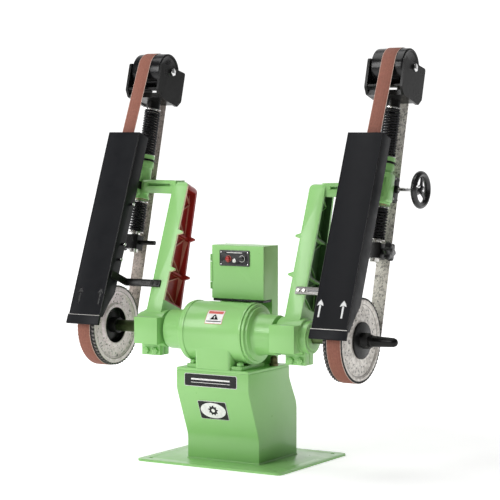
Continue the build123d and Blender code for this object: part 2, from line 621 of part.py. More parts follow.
def star_knob():
    """Six-lobed clamp knob on its stud."""
    middle = (STOP_FOOT + STOP_TOP) / 2
    knob = along_x(KNOB_R, KNOB_X0, KNOB_X1)
    for index in range(6):
        turn = 2 * pi * index / 6
        knob += along_x(11, KNOB_X0 + 2, KNOB_X1 - 2, KNOB_R * cos(turn), KNOB_R * sin(turn))
    knob += along_x(14, 36, KNOB_X0) + along_x(6, ROD_R + 1, 36)
    return ROD * Pos(0, 0, middle) * knob


def coil_spring(low, high, mean_r, wire_r, turns):
    """Close-wound compression spring round the rod."""
    pitch = (high - low - 2 * wire_r) / turns
    helix = Helix(pitch=pitch, height=pitch * turns, radius=mean_r)
    start = Plane(origin=helix @ 0, z_dir=helix % 0)
    return ROD * Pos(0, 0, low + wire_r) * sweep(start * Circle(wire_r), path=helix, is_frenet=True)


# ---- tension drive ----
def pinion_shaft():
    gear = along_x(PINION_R - 1.25 * PINION_MODULE, -17, 17)
    root, tip = PINION_R - 1.6 * PINION_MODULE, PINION_R + 0.9 * PINION_MODULE
    half_root, half_tip = 0.24 * pi * PINION_MODULE, 0.10 * pi * PINION_MODULE
    for index in range(PINION_TEETH):
        points = [(root, -half_root), (root, half_root), (tip, half_tip), (tip, -half_tip)]
        gear += Rot(360 * index / PINION_TEETH, 0, 0) * side_profile(points, -17, 17)
    shaft = gear + along_x(8, -27, HANDWHEEL_X + 12)
    return ROD * Pos(0, PINION_BACK, PINION_S) * shaft


def handwheel():
    """Thick rim on three broad spokes, with a turned grip."""
    rim_r = HANDWHEEL_RIM_R
    ring = revolve(Plane.XZ * Pos(0, HANDWHEEL_R - rim_r) * Circle(rim_r), Axis.X)
    wheel = ring + along_x(17, -16, 12)
    for index in range(3):
        spoke = block(-5.5, 5.5, -13, 13, 12, HANDWHEEL_R - rim_r - 2)
        wheel += Rot(120 * index, 0, 0) * spoke
    wheel += Rot(90, 0, 0) * along_x(7, 2, 27, 0, HANDWHEEL_R - rim_r)
    wheel -= along_x(8, -20, 13)
    return ROD * Pos(HANDWHEEL_X, PINION_BACK, PINION_S) * wheel


# ---- belt and guard ----
def drum_centre():
    """The drum's centre as (forward, up) in the arm's upright frame."""
    tilt = radians(ROD_TILT)
    forward = ROD_REF_FORWARD + HEAD_OFFSET * cos(tilt)
    return forward, ROD_REF_UP - HEAD_OFFSET * sin(tilt)


def belt_face(offset):
    """Area inside a band that lies offset off the contact wheel and the drum."""
    forward, up = drum_centre()
    wheel_r, drum_r = WHEEL_R + offset, DRUM_R + offset
    distance = hypot(forward, up)
    heading = atan2(up, -forward)
    swing = acos((wheel_r - drum_r) / distance)
    face = Circle(wheel_r) + Pos(-forward, up) * Circle(drum_r)
    ends = []
    for turn in (heading - swing, heading + swing):
        ends.append((wheel_r * cos(turn), wheel_r * sin(turn)))
        ends.append((-forward + drum_r * cos(turn), up + drum_r * sin(turn)))
    return face + make_face(Polyline(ends[0], ends[1], ends[3], ends[2], close=True))


def abrasive_belt():
    band = belt_face(BELT_GAP + BELT_T) - belt_face(BELT_GAP)
    loop = extrude(Plane.YZ * band, amount=BELT_W / 2, both=True)
    return ARM * Pos(BELT_MID_X, 0, 0) * loop


def guard_cover():
    """Channel over the belt's front run, with a lip at its foot and its sides cut away at the wheel."""
    x0, x1 = GUARD_MID_X - GUARD_HALF_X, GUARD_MID_X + GUARD_HALF_X
    side = [in_arm(GUARD_FRONT, GUARD_FOOT), in_arm(GUARD_FRONT, GUARD_TOP), in_arm(GUARD_REAR, GUARD_TOP),
            in_arm(GUARD_REAR, 110), in_arm(148, 60), in_arm(176, GUARD_FOOT)]
    guard = side_profile(side, x0, x1, {3: 40})
    hollow = [in_arm(GUARD_FRONT - GUARD_SHEET, GUARD_FOOT - 1), in_arm(GUARD_FRONT - GUARD_SHEET, GUARD_TOP + 1),
              in_arm(GUARD_REAR - 60, GUARD_TOP + 1), in_arm(GUARD_REAR - 60, GUARD_FOOT - 1)]
    guard -= side_profile(hollow, x0 + GUARD_SHEET, x1 - GUARD_SHEET)
    lip = block(x0 - 2, x1 + 2, -GUARD_FRONT - 5, -GUARD_FRONT + 7, GUARD_LIP_FOOT, GUARD_FOOT + 2)
    lip = fillet(lip.edges().filter_by(Axis.X), 3)
    return ARM * (guard + lip)


def guard_brackets():
    """Lower bracket from the beam, upper one from the sleeve into the guard, and three fixing pins."""
    guard_x = GUARD_MID_X - GUARD_HALF_X
    lower = block(338, guard_x, -68, -60, 164, 196) + block(guard_x - 6, guard_x, -184, -60, 164, 196)
    inside = guard_x + GUARD_SHEET - WHEEL_MID_X
    low, high = PINION_S - 34, PINION_S
    upper = block(-20, -14, -180, -36, low, high) + block(inside, -14, -180, -174, low, high)
    pins = [along_x(5.5, guard_x - 16, guard_x, -150, up) for up in (255, 325, 510)]
    return Compound(children=[ARM * piece for piece in [lower] + pins] + [ROD * upper])


def write_all():
    save("floor_plate", floor_plate())
    save("pedestal_column", pedestal_column())
    save("pedestal_top_plate", pedestal_top_plate())
    save("rear_access_cover", rear_access_cover())
    save("nameplate", nameplate())
    save("emblem_plate", emblem_plate())
    save("cable_gland", cable_gland())
    save("motor_frame", motor_frame())
    save("motor_foot_bolts", motor_foot_bolts())
    save("motor_stator", motor_stator())
    save("spindle_bearings", spindle_bearings())
    save("motor_rotor", motor_rotor())
    save("spindle_shaft", spindle_shaft())
    save("wheel_flanges", wheel_flanges())
    save("taper_nose", taper_nose())
    save("control_box_body", control_box_body())
    save("control_box_door", control_box_door())
    save("switch_panel", switch_panel())
    save("indicator_lamp", indicator_lamp())
    save("contactor", contactor())
    save("stop_button", push_button(STOP_X, STOP_Z))
    save("start_button", push_button(START_X, START_Z))
    both_sides("end_bell", end_bell())
    both_sides("contact_wheel", contact_wheel())
    both_sides("wheel_tyre", wheel_tyre())
    both_sides("arm_frame", arm_frame())
    both_sides("clamp_bolts", clamp_bolts())
    both_sides("guide_bushes", guide_bushes())
    both_sides("tension_rod", tension_rod())
    both_sides("idler_yoke", idler_yoke())
    both_sides("idler_axle", idler_axle())
    both_sides("idler_drum", idler_drum())
    both_sides("rod_stop_block", rod_stop_block())
    both_sides("star_knob", star_knob())
    both_sides("upper_spring", coil_spring(*UPPER_SPRING, UPPER_SPRING_R, UPPER_WIRE_R, 17))
    both_sides("lower_spring", coil_spring(*LOWER_SPRING, LOWER_SPRING_R, LOWER_WIRE_R, 11))
    both_sides("pinion_shaft", pinion_shaft())
    both_sides("handwheel", handwheel())
    both_sides("abrasive_belt", abrasive_belt())
    both_sides("guard_cover", guard_cover())
    both_sides("guard_brackets", guard_brackets())


write_all()
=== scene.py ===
import json
import math

import bmesh
import bpy
from mathutils import Matrix, Vector

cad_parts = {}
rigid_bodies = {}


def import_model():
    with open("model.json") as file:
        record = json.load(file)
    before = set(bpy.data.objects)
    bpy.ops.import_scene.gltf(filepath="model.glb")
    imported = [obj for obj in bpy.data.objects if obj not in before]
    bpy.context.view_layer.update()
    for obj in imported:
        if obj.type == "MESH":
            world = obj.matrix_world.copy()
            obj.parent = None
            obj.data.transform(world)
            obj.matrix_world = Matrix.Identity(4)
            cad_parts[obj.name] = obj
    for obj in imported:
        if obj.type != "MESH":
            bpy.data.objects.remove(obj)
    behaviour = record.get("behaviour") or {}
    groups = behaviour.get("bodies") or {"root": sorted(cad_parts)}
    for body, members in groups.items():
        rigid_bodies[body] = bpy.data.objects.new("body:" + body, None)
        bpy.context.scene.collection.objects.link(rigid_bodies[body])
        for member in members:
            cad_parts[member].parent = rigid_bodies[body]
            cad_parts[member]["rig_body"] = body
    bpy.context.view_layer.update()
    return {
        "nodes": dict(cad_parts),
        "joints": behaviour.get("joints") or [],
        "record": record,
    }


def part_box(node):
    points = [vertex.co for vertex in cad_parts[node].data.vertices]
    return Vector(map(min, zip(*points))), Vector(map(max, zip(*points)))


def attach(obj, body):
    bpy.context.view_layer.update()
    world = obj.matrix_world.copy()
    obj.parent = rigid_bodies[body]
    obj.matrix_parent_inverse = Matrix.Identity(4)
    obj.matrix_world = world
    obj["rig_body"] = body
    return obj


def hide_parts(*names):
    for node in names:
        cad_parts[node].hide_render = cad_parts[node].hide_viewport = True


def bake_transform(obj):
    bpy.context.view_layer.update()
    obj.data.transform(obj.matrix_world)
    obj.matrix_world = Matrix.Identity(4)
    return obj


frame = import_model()

# Looks of a floor-standing twin belt grinder, in metres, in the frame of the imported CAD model.
# Right-hand pieces are built at +X; the left-hand ones are their mirror image.

JOINTS = {joint["name"]: joint for joint in frame["joints"]}
SLOT_OF = {part["node"]: part["material_slot"] for part in frame["record"]["subparts"]}

# ---- places taken from the frame ----
SPINDLE = Vector(JOINTS["spindle_spin"]["pos_m"])
IDLER = Vector(JOINTS["right_idler_spin"]["pos_m"])
PINION = Vector(JOINTS["right_handwheel_turn"]["pos_m"])
KNOB = Vector(JOINTS["right_knob_turn"]["pos_m"])
ROD_UP = Vector(JOINTS["right_head_slide"]["axis"]).normalized()
ROD_BACK = Vector((1, 0, 0)).cross(ROD_UP) * -1
WHEEL_X = IDLER.x
ARM_LEAN = math.radians(21.5)
HEAD_OFFSET = 0.018
BELT_WIDTH = 0.0635
BELT_THICKNESS = 0.0018
BELT_SHIFT = 0.008
WHEEL_R = 0.175
DRUM_R = 0.084

WHEEL_IN_X, WHEEL_OUT_X = (corner.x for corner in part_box("right_wheel_tyre"))
RIM_R = 0.1668
TYRE_BORE_R = 0.1672
HUB_RECESS_R, HUB_RECESS_DEPTH = 0.0785, 0.031
PEDESTAL_SETBACK = 0.088
HANDWHEEL_X = 0.160

# Paint lines on the arm: forward of and above the spindle, and out from the middle of the machine.
RECESS_FRONT, FLANGE_FRONT = 0.0488, 0.0590
RECESS_FOOT, RECESS_TOP = 0.112, 0.660
RECESS_X, ARM_EDGE_X = (0.280, 0.340), 0.3085
RIB_X = (0.3285, 0.3365)
OUTER_RECESS_X, OUTER_RECESS_UP = (0.340, 0.380), (0.180, 0.640)

GUARD_X0, GUARD_X1 = 0.5195, 0.6835
GUARD_FRONT = 0.197


def arm_point(x, forward, up):
    """A point in the arm's leaning frame: forward of and above the spindle axis."""
    lean_sin, lean_cos = math.sin(ARM_LEAN), math.cos(ARM_LEAN)
    y = SPINDLE.y + up * lean_sin - forward * lean_cos
    z = SPINDLE.z + up * lean_cos + forward * lean_sin
    return Vector((x, y, z))


def arm_matrix(x, forward, up):
    """A frame at an arm point, with -Y forward and Z up the arm."""
    return Matrix.Translation(arm_point(x, forward, up)) @ Matrix.Rotation(-ARM_LEAN, 4, "X")


ROD_ZERO = IDLER + ROD_BACK * HEAD_OFFSET
ROD_LEAN = math.atan2(ROD_UP.y, ROD_UP.z)


def rod_matrix(x=0.0, back=0.0, along=0.0):
    """A frame on the tension rod, with Z along it; x is measured from the belt's middle."""
    place = ROD_ZERO + Vector((x, 0, 0)) + ROD_BACK * back + ROD_UP * along
    return Matrix.Translation(place) @ Matrix.Rotation(-ROD_LEAN, 4, "X")


def cross_matrix(point):
    """A frame at a point with X along the spindle and Z along the tension rod."""
    return Matrix.Translation(point) @ Matrix.Rotation(-ROD_LEAN, 4, "X")


def middle_of(node):
    """The middle of a node's box."""
    low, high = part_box(node)
    return (low + high) / 2


def inside(value, limits):
    return limits[0] < value < limits[1]


def around(radius, turn):
    """The two parts of a radius at an angle."""
    return radius * math.cos(turn), radius * math.sin(turn)


# ---- materials ----
class Shader:
    """Builds the nodes of a material or a world; each call adds a node and links what it is given."""

    def __init__(self, owner):
        owner.use_nodes = True
        self.owner = owner
        self.tree = owner.node_tree
        self.tree.nodes.clear()

    def add(self, kind, settings=None, **inputs):
        """A node; its inputs are named, or numbered as _0, _1 and so on."""
        node = self.tree.nodes.new("ShaderNode" + kind)
        for key, value in (settings or {}).items():
            setattr(node, key, value)
        for key, value in inputs.items():
            socket = node.inputs[int(key[1:])] if key[0] == "_" else node.inputs[key.replace("_", " ")]
            if isinstance(value, bpy.types.NodeSocket):
                self.tree.links.new(value, socket)
            else:
                socket.default_value = value
        return node

    def place(self):
        return self.add("TexCoord").outputs["Object"]

    def noise(self, where, scale, detail=3.0, roughness=0.55):
        noise = self.add("TexNoise", Vector=where, Scale=scale, Detail=detail, Roughness=roughness)
        return noise.outputs["Fac"]

    def between(self, value, low, high, low_out=0.0, high_out=1.0):
        """The value scaled from one range to another and held inside it."""
        return self.add("MapRange", {"clamp": True}, Value=value, _1=low, _2=high, _3=low_out,
                        _4=high_out).outputs[0]

    def mix(self, share, first, second):
        """A mix of two colours, each a socket or three numbers."""
        first, second = (colour if isinstance(colour, bpy.types.NodeSocket) else (*colour, 1.0)
                         for colour in (first, second))
        return self.add("Mix", {"data_type": "RGBA"}, _0=share, _6=first, _7=second).outputs[2]

    def math(self, operation, first, second=0.0):
        return self.add("Math", {"operation": operation}, _0=first, _1=second).outputs[0]

    def times(self, first, second):
        return self.math("MULTIPLY", first, second)

    def edges(self, radius, low, high):
        """1 on sharp edges and 0 on flat faces."""
        rounded = self.add("Bevel", {"samples": 4}, Radius=radius).outputs[0]
        flat = self.add("NewGeometry").outputs["Normal"]
        product = self.add("VectorMath", {"operation": "DOT_PRODUCT"}, _0=rounded, _1=flat)
        straight = product.outputs["Value"]
        return self.between(self.math("SUBTRACT", 1.0, straight), low, high)

    def finish(self, colour, roughness, metallic=0.0, height=None, strength=0.3, distance=0.001,
               coat=0.0, specular=0.5):
        """The finished material; colour and height come from nodes."""
        surface = self.add("BsdfPrincipled", Base_Color=colour, Roughness=roughness, Metallic=metallic,
                           Specular_IOR_Level=specular, Coat_Weight=coat, Coat_Roughness=0.12)
        if height is not None:
            bump = self.add("Bump", Strength=strength, Distance=distance, Height=height)
            self.tree.links.new(bump.outputs[0], surface.inputs["Normal"])
        self.add("OutputMaterial", Surface=surface.outputs[0])
        return self.owner


def new_material(name):
    return Shader(bpy.data.materials.new(name))


def enamel(name, colour, shade, worn, roughness, coat, cast=0.0, specular=0.5, edge_wear_and_highlight=1.0):
    """Brushed or sprayed enamel: slight colour drift, orange peel, and a paler colour along the edges that is
    partly wear and partly a painted highlight.
    """
    s = new_material(name)
    where = s.place()
    drift = s.between(s.noise(where, 3.0, 3.0), 0.35, 0.7)
    fine = s.noise(where, 260.0, 2.0)
    coarse = s.noise(where, 45.0, 3.0)
    paint = s.mix(s.times(drift, 0.35), colour, shade)
    chips = s.between(s.noise(where, 90.0, 5.0, 0.7), 0.5, 0.62)
    share = s.times(s.math("ADD", s.times(chips, 0.35), 0.10), edge_wear_and_highlight)
    # Edges take the paler colour: partly wear, partly a painted highlight along them.
    paint_with_lit_worn_edges = s.mix(s.times(s.edges(0.0012, 0.05, 0.24), share), paint, worn)
    rough = s.between(s.noise(where, 22.0, 4.0), 0.3, 0.75, roughness * 0.85, roughness * 1.25)
    height = s.math("ADD", s.times(fine, 0.25), s.times(coarse, 0.55 + cast))
    strength, distance = 0.12 + 0.35 * cast, 0.0005 + 0.0009 * cast
    return s.finish(paint_with_lit_worn_edges, rough, 0.0, height, strength, distance, coat, specular)


def machined(name, colour, roughness, streak_axis="X", grime=0.25):
    """Bare turned or ground metal: fine tool marks, a little grime in broad patches."""
    s = new_material(name)
    where = s.place()
    stretch = {"X": (900.0, 60.0, 60.0), "Z": (60.0, 60.0, 900.0)}[streak_axis]
    mapped = s.add("Mapping", Vector=where, Scale=stretch).outputs[0]
    marks = s.noise(mapped, 1.0, 2.0)
    patches = s.between(s.noise(where, 26.0, 4.0), 0.45, 0.75)
    tone = s.mix(s.times(patches, grime), colour, tuple(c * 0.35 for c in colour))
    rough = s.between(marks, 0.3, 0.7, roughness * 0.75, roughness * 1.3)
    return s.finish(tone, rough, 1.0, marks, 0.12, 0.0003)


def cast_aluminium(name, pale, dull):
    """Turned face of a cast disc: tool rings, clouded tone, a groove, and a band of casting pits."""
    s = new_material(name)
    where = s.place()
    spot = s.add("SeparateXYZ", Vector=where)
    dy = s.math("SUBTRACT", spot.outputs[1], SPINDLE.y)
    dz = s.math("SUBTRACT", spot.outputs[2], SPINDLE.z)
    radius = s.math("SQRT", s.math("ADD", s.times(dy, dy), s.times(dz, dz)))
    band = s.times(s.between(radius, 0.088, 0.096), s.between(radius, 0.148, 0.140))
    groove = s.between(s.math("ABSOLUTE", s.math("SUBTRACT", radius, 0.1485)), 0.0022, 0.0008)
    rings = s.math("SINE", s.times(radius, 2400.0))
    grain = s.noise(where, 420.0, 3.0, 0.7)
    clouds = s.noise(where, 60.0, 5.0, 0.65)
    pits = s.add("TexVoronoi", Vector=where, Scale=82.0).outputs["Distance"]
    specks = s.between(pits, 0.34, 0.22)
    speckled = s.times(s.times(specks, s.between(clouds, 0.40, 0.50)), band)
    tone = s.mix(s.between(clouds, 0.40, 0.62), pale, dull)
    turned = s.mix(s.between(rings, 0.3, 1.0, 0.0, 0.28), tone, (0.30, 0.27, 0.26))
    rimmed = s.mix(s.times(groove, 0.65), turned, (0.16, 0.14, 0.13))
    marked = s.mix(s.times(speckled, 0.85), rimmed, (0.05, 0.045, 0.04))
    rough = s.between(grain, 0.3, 0.7, 0.30, 0.50)
    relief = s.math("ADD", s.times(grain, 0.35), s.times(rings, 0.20))
    height = s.math("SUBTRACT", relief, s.times(speckled, 0.9))
    return s.finish(marked, rough, 0.15, height, 0.45, 0.0007)


def rubber(name, colour, dusty):
    """Matt rubber with grinding dust in patches."""
    s = new_material(name)
    where = s.place()
    grain = s.noise(where, 500.0, 3.0)
    dust = s.between(s.noise(where, 40.0, 4.0, 0.65), 0.5, 0.75)
    tone = s.mix(s.times(dust, 0.35), colour, dusty)
    return s.finish(tone, s.between(grain, 0.3, 0.7, 0.6, 0.85), 0.0, grain, 0.3, 0.0004)


def abrasive(name):
    """Closed-coat aluminium oxide grit: red-brown grain, paler worn streaks along the belt, pale edges."""
    s = new_material(name)
    where = s.place()
    along = s.add("UVMap").outputs[0]
    stretched = s.add("Mapping", Vector=along, Scale=(3.0, 160.0, 1.0)).outputs[0]
    streaks = s.noise(stretched, 1.0, 3.0)
    grit = s.add("TexVoronoi", Vector=where, Scale=1500.0).outputs["Distance"]
    clumps = s.noise(where, 130.0, 4.0, 0.7)
    tone = s.mix(s.between(clumps, 0.3, 0.7), (0.188, 0.060, 0.038), (0.270, 0.096, 0.062))
    worn = s.mix(s.times(s.between(streaks, 0.45, 0.8), 0.4), tone, (0.31, 0.15, 0.11))
    across = s.math("ABSOLUTE", s.add("SeparateXYZ", Vector=along).outputs[1])
    frayed = s.between(across, BELT_WIDTH / 2 - 0.0024, BELT_WIDTH / 2 - 0.0014)
    edged = s.mix(frayed, worn, (0.52, 0.36, 0.30))
    height = s.math("ADD", s.times(grit, 0.7), s.times(clumps, 0.3))
    return s.finish(edged, s.between(grit, 0.1, 0.6, 0.5, 0.8), 0.0, height, 0.6, 0.0004)


def belt_cloth(name, thread, gap, soil):
    """Twill backing of the belt, darkened by dust and rubber in specks."""
    s = new_material(name)
    where = s.place()
    along = s.add("UVMap").outputs[0]
    turned = s.add("Mapping", Vector=along, Rotation=(0.0, 0.0, 0.6)).outputs[0]
    twill = s.add("TexWave", {"bands_direction": "X"}, Vector=turned, Scale=420.0, Distortion=0.6)
    weave = twill.outputs["Fac"]
    grime = s.between(s.noise(where, 48.0, 6.0, 0.75), 0.46, 0.62)
    specks = s.between(s.noise(where, 110.0, 3.0, 0.7), 0.55, 0.61)
    cloth = s.mix(weave, gap, thread)
    soiled = s.mix(s.times(grime, soil), cloth, (0.17, 0.14, 0.11))
    spotted = s.mix(s.times(specks, 0.7), soiled, (0.05, 0.045, 0.04))
    return s.finish(spotted, 0.88, 0.0, weave, 0.4, 0.0003)


def plastic(name, colour, roughness):
    """Moulded plastic or ink with a fine grain and a slight drift of colour and gloss."""
    s = new_material(name)
    where = s.place()
    grain = s.noise(where, 900.0, 2.0)
    drift = s.noise(where, 60.0, 3.0)
    lighter = tuple(min(1.0, c * 1.35 + 0.004) for c in colour)
    tone = s.mix(s.between(drift, 0.3, 0.7), colour, lighter)
    rough = s.between(drift, 0.3, 0.7, roughness * 0.85, roughness * 1.2)
    return s.finish(tone, rough, 0.0, grain, 0.12, 0.0003, 0.1)


# Name, paint, shade of it, edge colour (wear and painted highlight), roughness, coat, casting roughness,
# specular, strength of the edge wear and painted highlight.
GREEN = enamel(
    "green_enamel", (0.290, 0.590, 0.200), (0.245, 0.535, 0.165), (0.55, 0.72, 0.45),
    0.32, 0.2, 0.0, 0.4)
GREEN_CAST = enamel(
    "green_enamel_cast", (0.285, 0.585, 0.195), (0.235, 0.520, 0.155), (0.60, 0.72, 0.45),
    0.33, 0.25, 0.5, 0.4)
RED_CAST = enamel(
    "red_enamel_cast", (0.330, 0.011, 0.009), (0.230, 0.008, 0.007), (0.42, 0.07, 0.05),
    0.38, 0.15, 0.5)
# Lighter red for the ribs in the recess: a painted highlight on their edges.
RIB_RED_HIGHLIGHT = enamel(
    "red_enamel_rib_highlight", (0.620, 0.230, 0.180), (0.500, 0.150, 0.120), (0.70, 0.40, 0.32),
    0.40, 0.1, 0.5)
# Cream for the lit narrow face in front of the arm's recess: a painted highlight.
CREAM_PAINTED_HIGHLIGHT = enamel(
    "cream_painted_highlight", (0.900, 0.720, 0.470), (0.780, 0.640, 0.400), (0.90, 0.80, 0.62),
    0.40, 0.1, 0.4)
# The black enamel's strong pale edges are mostly a painted highlight line along the guard's folds.
BLACK = enamel(
    "black_enamel", (0.0085, 0.0090, 0.0110), (0.0065, 0.007, 0.008), (0.22, 0.23, 0.22),
    0.42, 0.0, 0.0, 0.12, 2.0)
BLACK_CAST = enamel(
    "black_cast_iron", (0.0060, 0.0060, 0.0060), (0.010, 0.0095, 0.0085), (0.13, 0.125, 0.11),
    0.30, 0.02, 0.6, 0.22, 1.2)
# Dark green for the outer recess of the arm: painted shade.
GREEN_PAINTED_SHADE = enamel(
    "green_enamel_painted_shade", (0.030, 0.085, 0.022), (0.020, 0.060, 0.015), (0.20, 0.32, 0.16),
    0.4, 0.1, 0.5)
BLACK_GLOSS = enamel(
    "black_gloss", (0.0055, 0.0055, 0.0060), (0.009, 0.0085, 0.008), (0.18, 0.17, 0.15),
    0.22, 0.06, 0.0, 0.28)
STEEL = machined("bright_steel", (0.46, 0.45, 0.43), 0.34)
STEEL_ROD = machined("rod_steel", (0.60, 0.59, 0.56), 0.24, "Z", 0.35)
CHROME = machined("polished_chrome", (0.72, 0.72, 0.72), 0.12, "X", 0.1)
SPRING_STEEL = machined("spring_steel", (0.022, 0.022, 0.024), 0.38, "X", 0.4)
OILED_SHAFT = machined("oiled_shaft", (0.10, 0.14, 0.06), 0.36, "X", 0.4)
BRONZE = machined("oiled_bronze", (0.50, 0.34, 0.17), 0.4, "Z", 0.4)
OLIVE = machined("olive_gland", (0.13, 0.12, 0.06), 0.42, "Z", 0.5)
MOTOR_STEEL = machined("laminated_steel", (0.33, 0.31, 0.29), 0.5)
DISC = cast_aluminium("wheel_disc_outboard", (0.93, 0.89, 0.83), (0.58, 0.54, 0.49))
# Lit copy of the disc: the inboard face is brighter and tinted pink to cancel the green light reflected onto
# it from the motor.
DISC_INBOARD = cast_aluminium("wheel_disc_inboard_lit_tint", (1.0, 0.84, 0.92), (0.80, 0.64, 0.70))
RUBBER = rubber("serrated_rubber", (0.016, 0.015, 0.014), (0.10, 0.085, 0.07))
RUBBER_WORN = rubber("serrated_rubber_worn", (0.17, 0.16, 0.15), (0.30, 0.28, 0.26))
GRIT = abrasive("abrasive_grit")
# Lit and shaded copies of one cloth: the right run's is paler for its lit side, and the left run's is darker
# as painted shade.
CLOTH = {"right": belt_cloth("belt_cloth_right_lit", (0.95, 0.91, 0.83), (0.82, 0.78, 0.70), 0.50),
         "left": belt_cloth("belt_cloth_left_painted_shade", (0.66, 0.56, 0.51), (0.52, 0.44, 0.40), 0.50)}
BLACK_PLASTIC = plastic("black_plastic", (0.0075, 0.0075, 0.008), 0.28)
RED_PLASTIC = plastic("red_plastic", (0.32, 0.020, 0.018), 0.28)
LAMP_LENS = plastic("lamp_lens", (0.80, 0.78, 0.72), 0.15)
WHITE_INK = plastic("white_ink", (0.70, 0.70, 0.68), 0.4)
ARROW_INK = plastic("arrow_ink", (0.56, 0.57, 0.56), 0.45)
DARK_INK = plastic("dark_ink", (0.0030, 0.0030, 0.0030), 0.25)
RED_INK = plastic("red_ink", (0.55, 0.10, 0.08), 0.45)

SLOT_MATERIAL = {
    "green_paint": GREEN, "black_paint": BLACK, "black_iron": BLACK_CAST, "cast_aluminium": DISC,
    "tyre_rubber": RUBBER, "abrasive_cloth": GRIT, "bright_steel": STEEL, "chrome_steel": CHROME,
    "spring_steel": SPRING_STEEL, "black_plastic": BLACK_PLASTIC, "red_plastic": RED_PLASTIC,
    "lamp_lens": LAMP_LENS, "bronze": BRONZE, "motor_steel": MOTOR_STEEL, "nameplate_black": BLACK_GLOSS,
    "black_aluminium": BLACK_GLOSS,
}

WELD_DISTANCE = 2e-6
FLAT_ANGLE = math.radians(0.6)
SHARP_ANGLE = math.radians(30.0)


# ---- mesh tools ----
def body_of_node(node):
    """The body that the frame gives the node to."""
    return frame["nodes"][node]["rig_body"]


def to_object(name, bm, materials, body, side="", crease=35.0):
    """Makes an object of a bmesh, mirrored to the left if asked, and lets it ride on its body."""
    if side == "left":
        bm.transform(Matrix.Scale(-1, 4, (1, 0, 0)))
        bmesh.ops.reverse_faces(bm, faces=bm.faces)
    limit = math.radians(crease)
    for face in bm.faces:
        face.smooth = True
    for edge in bm.edges:
        if len(edge.link_faces) == 2:
            edge.smooth = edge.calc_face_angle(0.0) < limit
    mesh = bpy.data.meshes.new(name)
    bm.to_mesh(mesh)
    bm.free()
    for material in materials if isinstance(materials, (list, tuple)) else [materials]:
        mesh.materials.append(material)
    piece = bpy.data.objects.new(name, mesh)
    bpy.context.scene.collection.objects.link(piece)
    if body:
        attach(piece, body)
    return piece


def bevel_sharp(bm, width, segments=2):
    """Rounds every sharp edge."""
    sharp = [e for e in bm.edges if len(e.link_faces) == 2 and e.calc_face_angle(0.0) > SHARP_ANGLE]
    if sharp and width > 0:
        bmesh.ops.bevel(bm, geom=sharp, offset=width, offset_type="OFFSET", segments=segments, profile=0.5,
                        affect="EDGES", clamp_overlap=True)


def rounded_shape(node, width, segments=2):
    """The node's own shape as a bmesh, with flat faces made whole and edges rounded."""
    bm = bmesh.new()
    bm.from_mesh(frame["nodes"][node].data)
    bmesh.ops.remove_doubles(bm, verts=bm.verts, dist=WELD_DISTANCE)
    bmesh.ops.dissolve_limit(bm, angle_limit=FLAT_ANGLE, verts=bm.verts, edges=bm.edges)
    bevel_sharp(bm, width, segments)
    return bm


def softened(node, width, material=None, segments=2, cuts=(), crease=35.0):
    """The node's rounded shape, standing for the node; cuts are planes that its paint meets at."""
    bm = rounded_shape(node, width, segments)
    if cuts:
        bmesh.ops.triangulate(bm, faces=bm.faces[:])
    for spot, normal in cuts:
        everything = bm.verts[:] + bm.edges[:] + bm.faces[:]
        bmesh.ops.bisect_plane(bm, geom=everything, dist=1e-6, plane_co=spot, plane_no=normal)
    for face in bm.faces:
        face.material_index = 0
    finish = material or SLOT_MATERIAL[SLOT_OF[node]]
    piece = to_object(node + "_skin", bm, finish, body_of_node(node), crease=crease)
    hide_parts(node)
    return piece


def box_into(bm, matrix, low, high, width=0.0, segments=2, material_index=0):
    """Adds a box from low to high, in the matrix's frame, with rounded edges."""
    part = bmesh.new()
    bmesh.ops.create_cube(part, size=1.0)
    low, high = Vector(low), Vector(high)
    middle, size = (low + high) / 2, high - low
    part.transform(Matrix.Translation(middle) @ Matrix.Diagonal((*size, 1.0)))
    bevel_sharp(part, width, segments)
    join_into(bm, part, matrix, material_index)


def join_into(bm, part, matrix, material_index=0):
    """Adds one bmesh to another, in the matrix's frame, and frees it."""
    part.transform(matrix)
    for face in part.faces:
        face.material_index = material_index
    mesh = bpy.data.meshes.new("part")
    part.to_mesh(mesh)
    part.free()
    bm.from_mesh(mesh)
    bpy.data.meshes.remove(mesh)


def loft(bm, rings, closed=False):
    """Skins a row of rings, with a face over each end unless the row is closed."""
    for here, after in zip(rings, rings[1:] + rings[:1] if closed else rings[1:]):
        bridge(bm, here, after)
    if not closed:
        bm.faces.new(rings[0][::-1])
        bm.faces.new(rings[-1])
    bmesh.ops.recalc_face_normals(bm, faces=bm.faces)


def bridge(bm, here, after):
    """Adds quads between two closed rings of corners and gives them back in order."""
    count = len(here)
    faces = []
    for index in range(count):
        other = (index + 1) % count
        faces.append(bm.faces.new((here[index], here[other], after[other], after[index])))
    return faces


def prism_into(bm, matrix, outline, depth, width=0.0, segments=2, material_index=0):
    """Adds an outline of (x, z) points, pulled forward along -Y by depth, with rounded edges."""
    part = bmesh.new()
    face = part.faces.new([part.verts.new((x, 0.0, z)) for x, z in outline])
    part.normal_update()
    pulled = bmesh.ops.extrude_face_region(part, geom=[face])
    corners = [v for v in pulled["geom"] if isinstance(v, bmesh.types.BMVert)]
    bmesh.ops.translate(part, verts=corners, vec=(0.0, -depth, 0.0))
    bmesh.ops.recalc_face_normals(part, faces=part.faces)
    bevel_sharp(part, width, segments)
    join_into(bm, part, matrix, material_index)


def lathe_into(bm, matrix, profile, steps=96, material_index=0):
    """Adds a closed outline of (along, radius) points turned about the frame's X axis."""
    part = bmesh.new()
    rings = []
    for step in range(steps):
        turn = 2 * math.pi * step / steps
        rings.append([part.verts.new((along, *around(radius, turn))) for along, radius in profile])
    for here, after in zip(rings, rings[1:] + rings[:1]):
        bridge(part, here, after)
    bmesh.ops.remove_doubles(part, verts=part.verts, dist=1e-7)
    bmesh.ops.recalc_face_normals(part, faces=part.faces)
    join_into(bm, part, matrix, material_index)


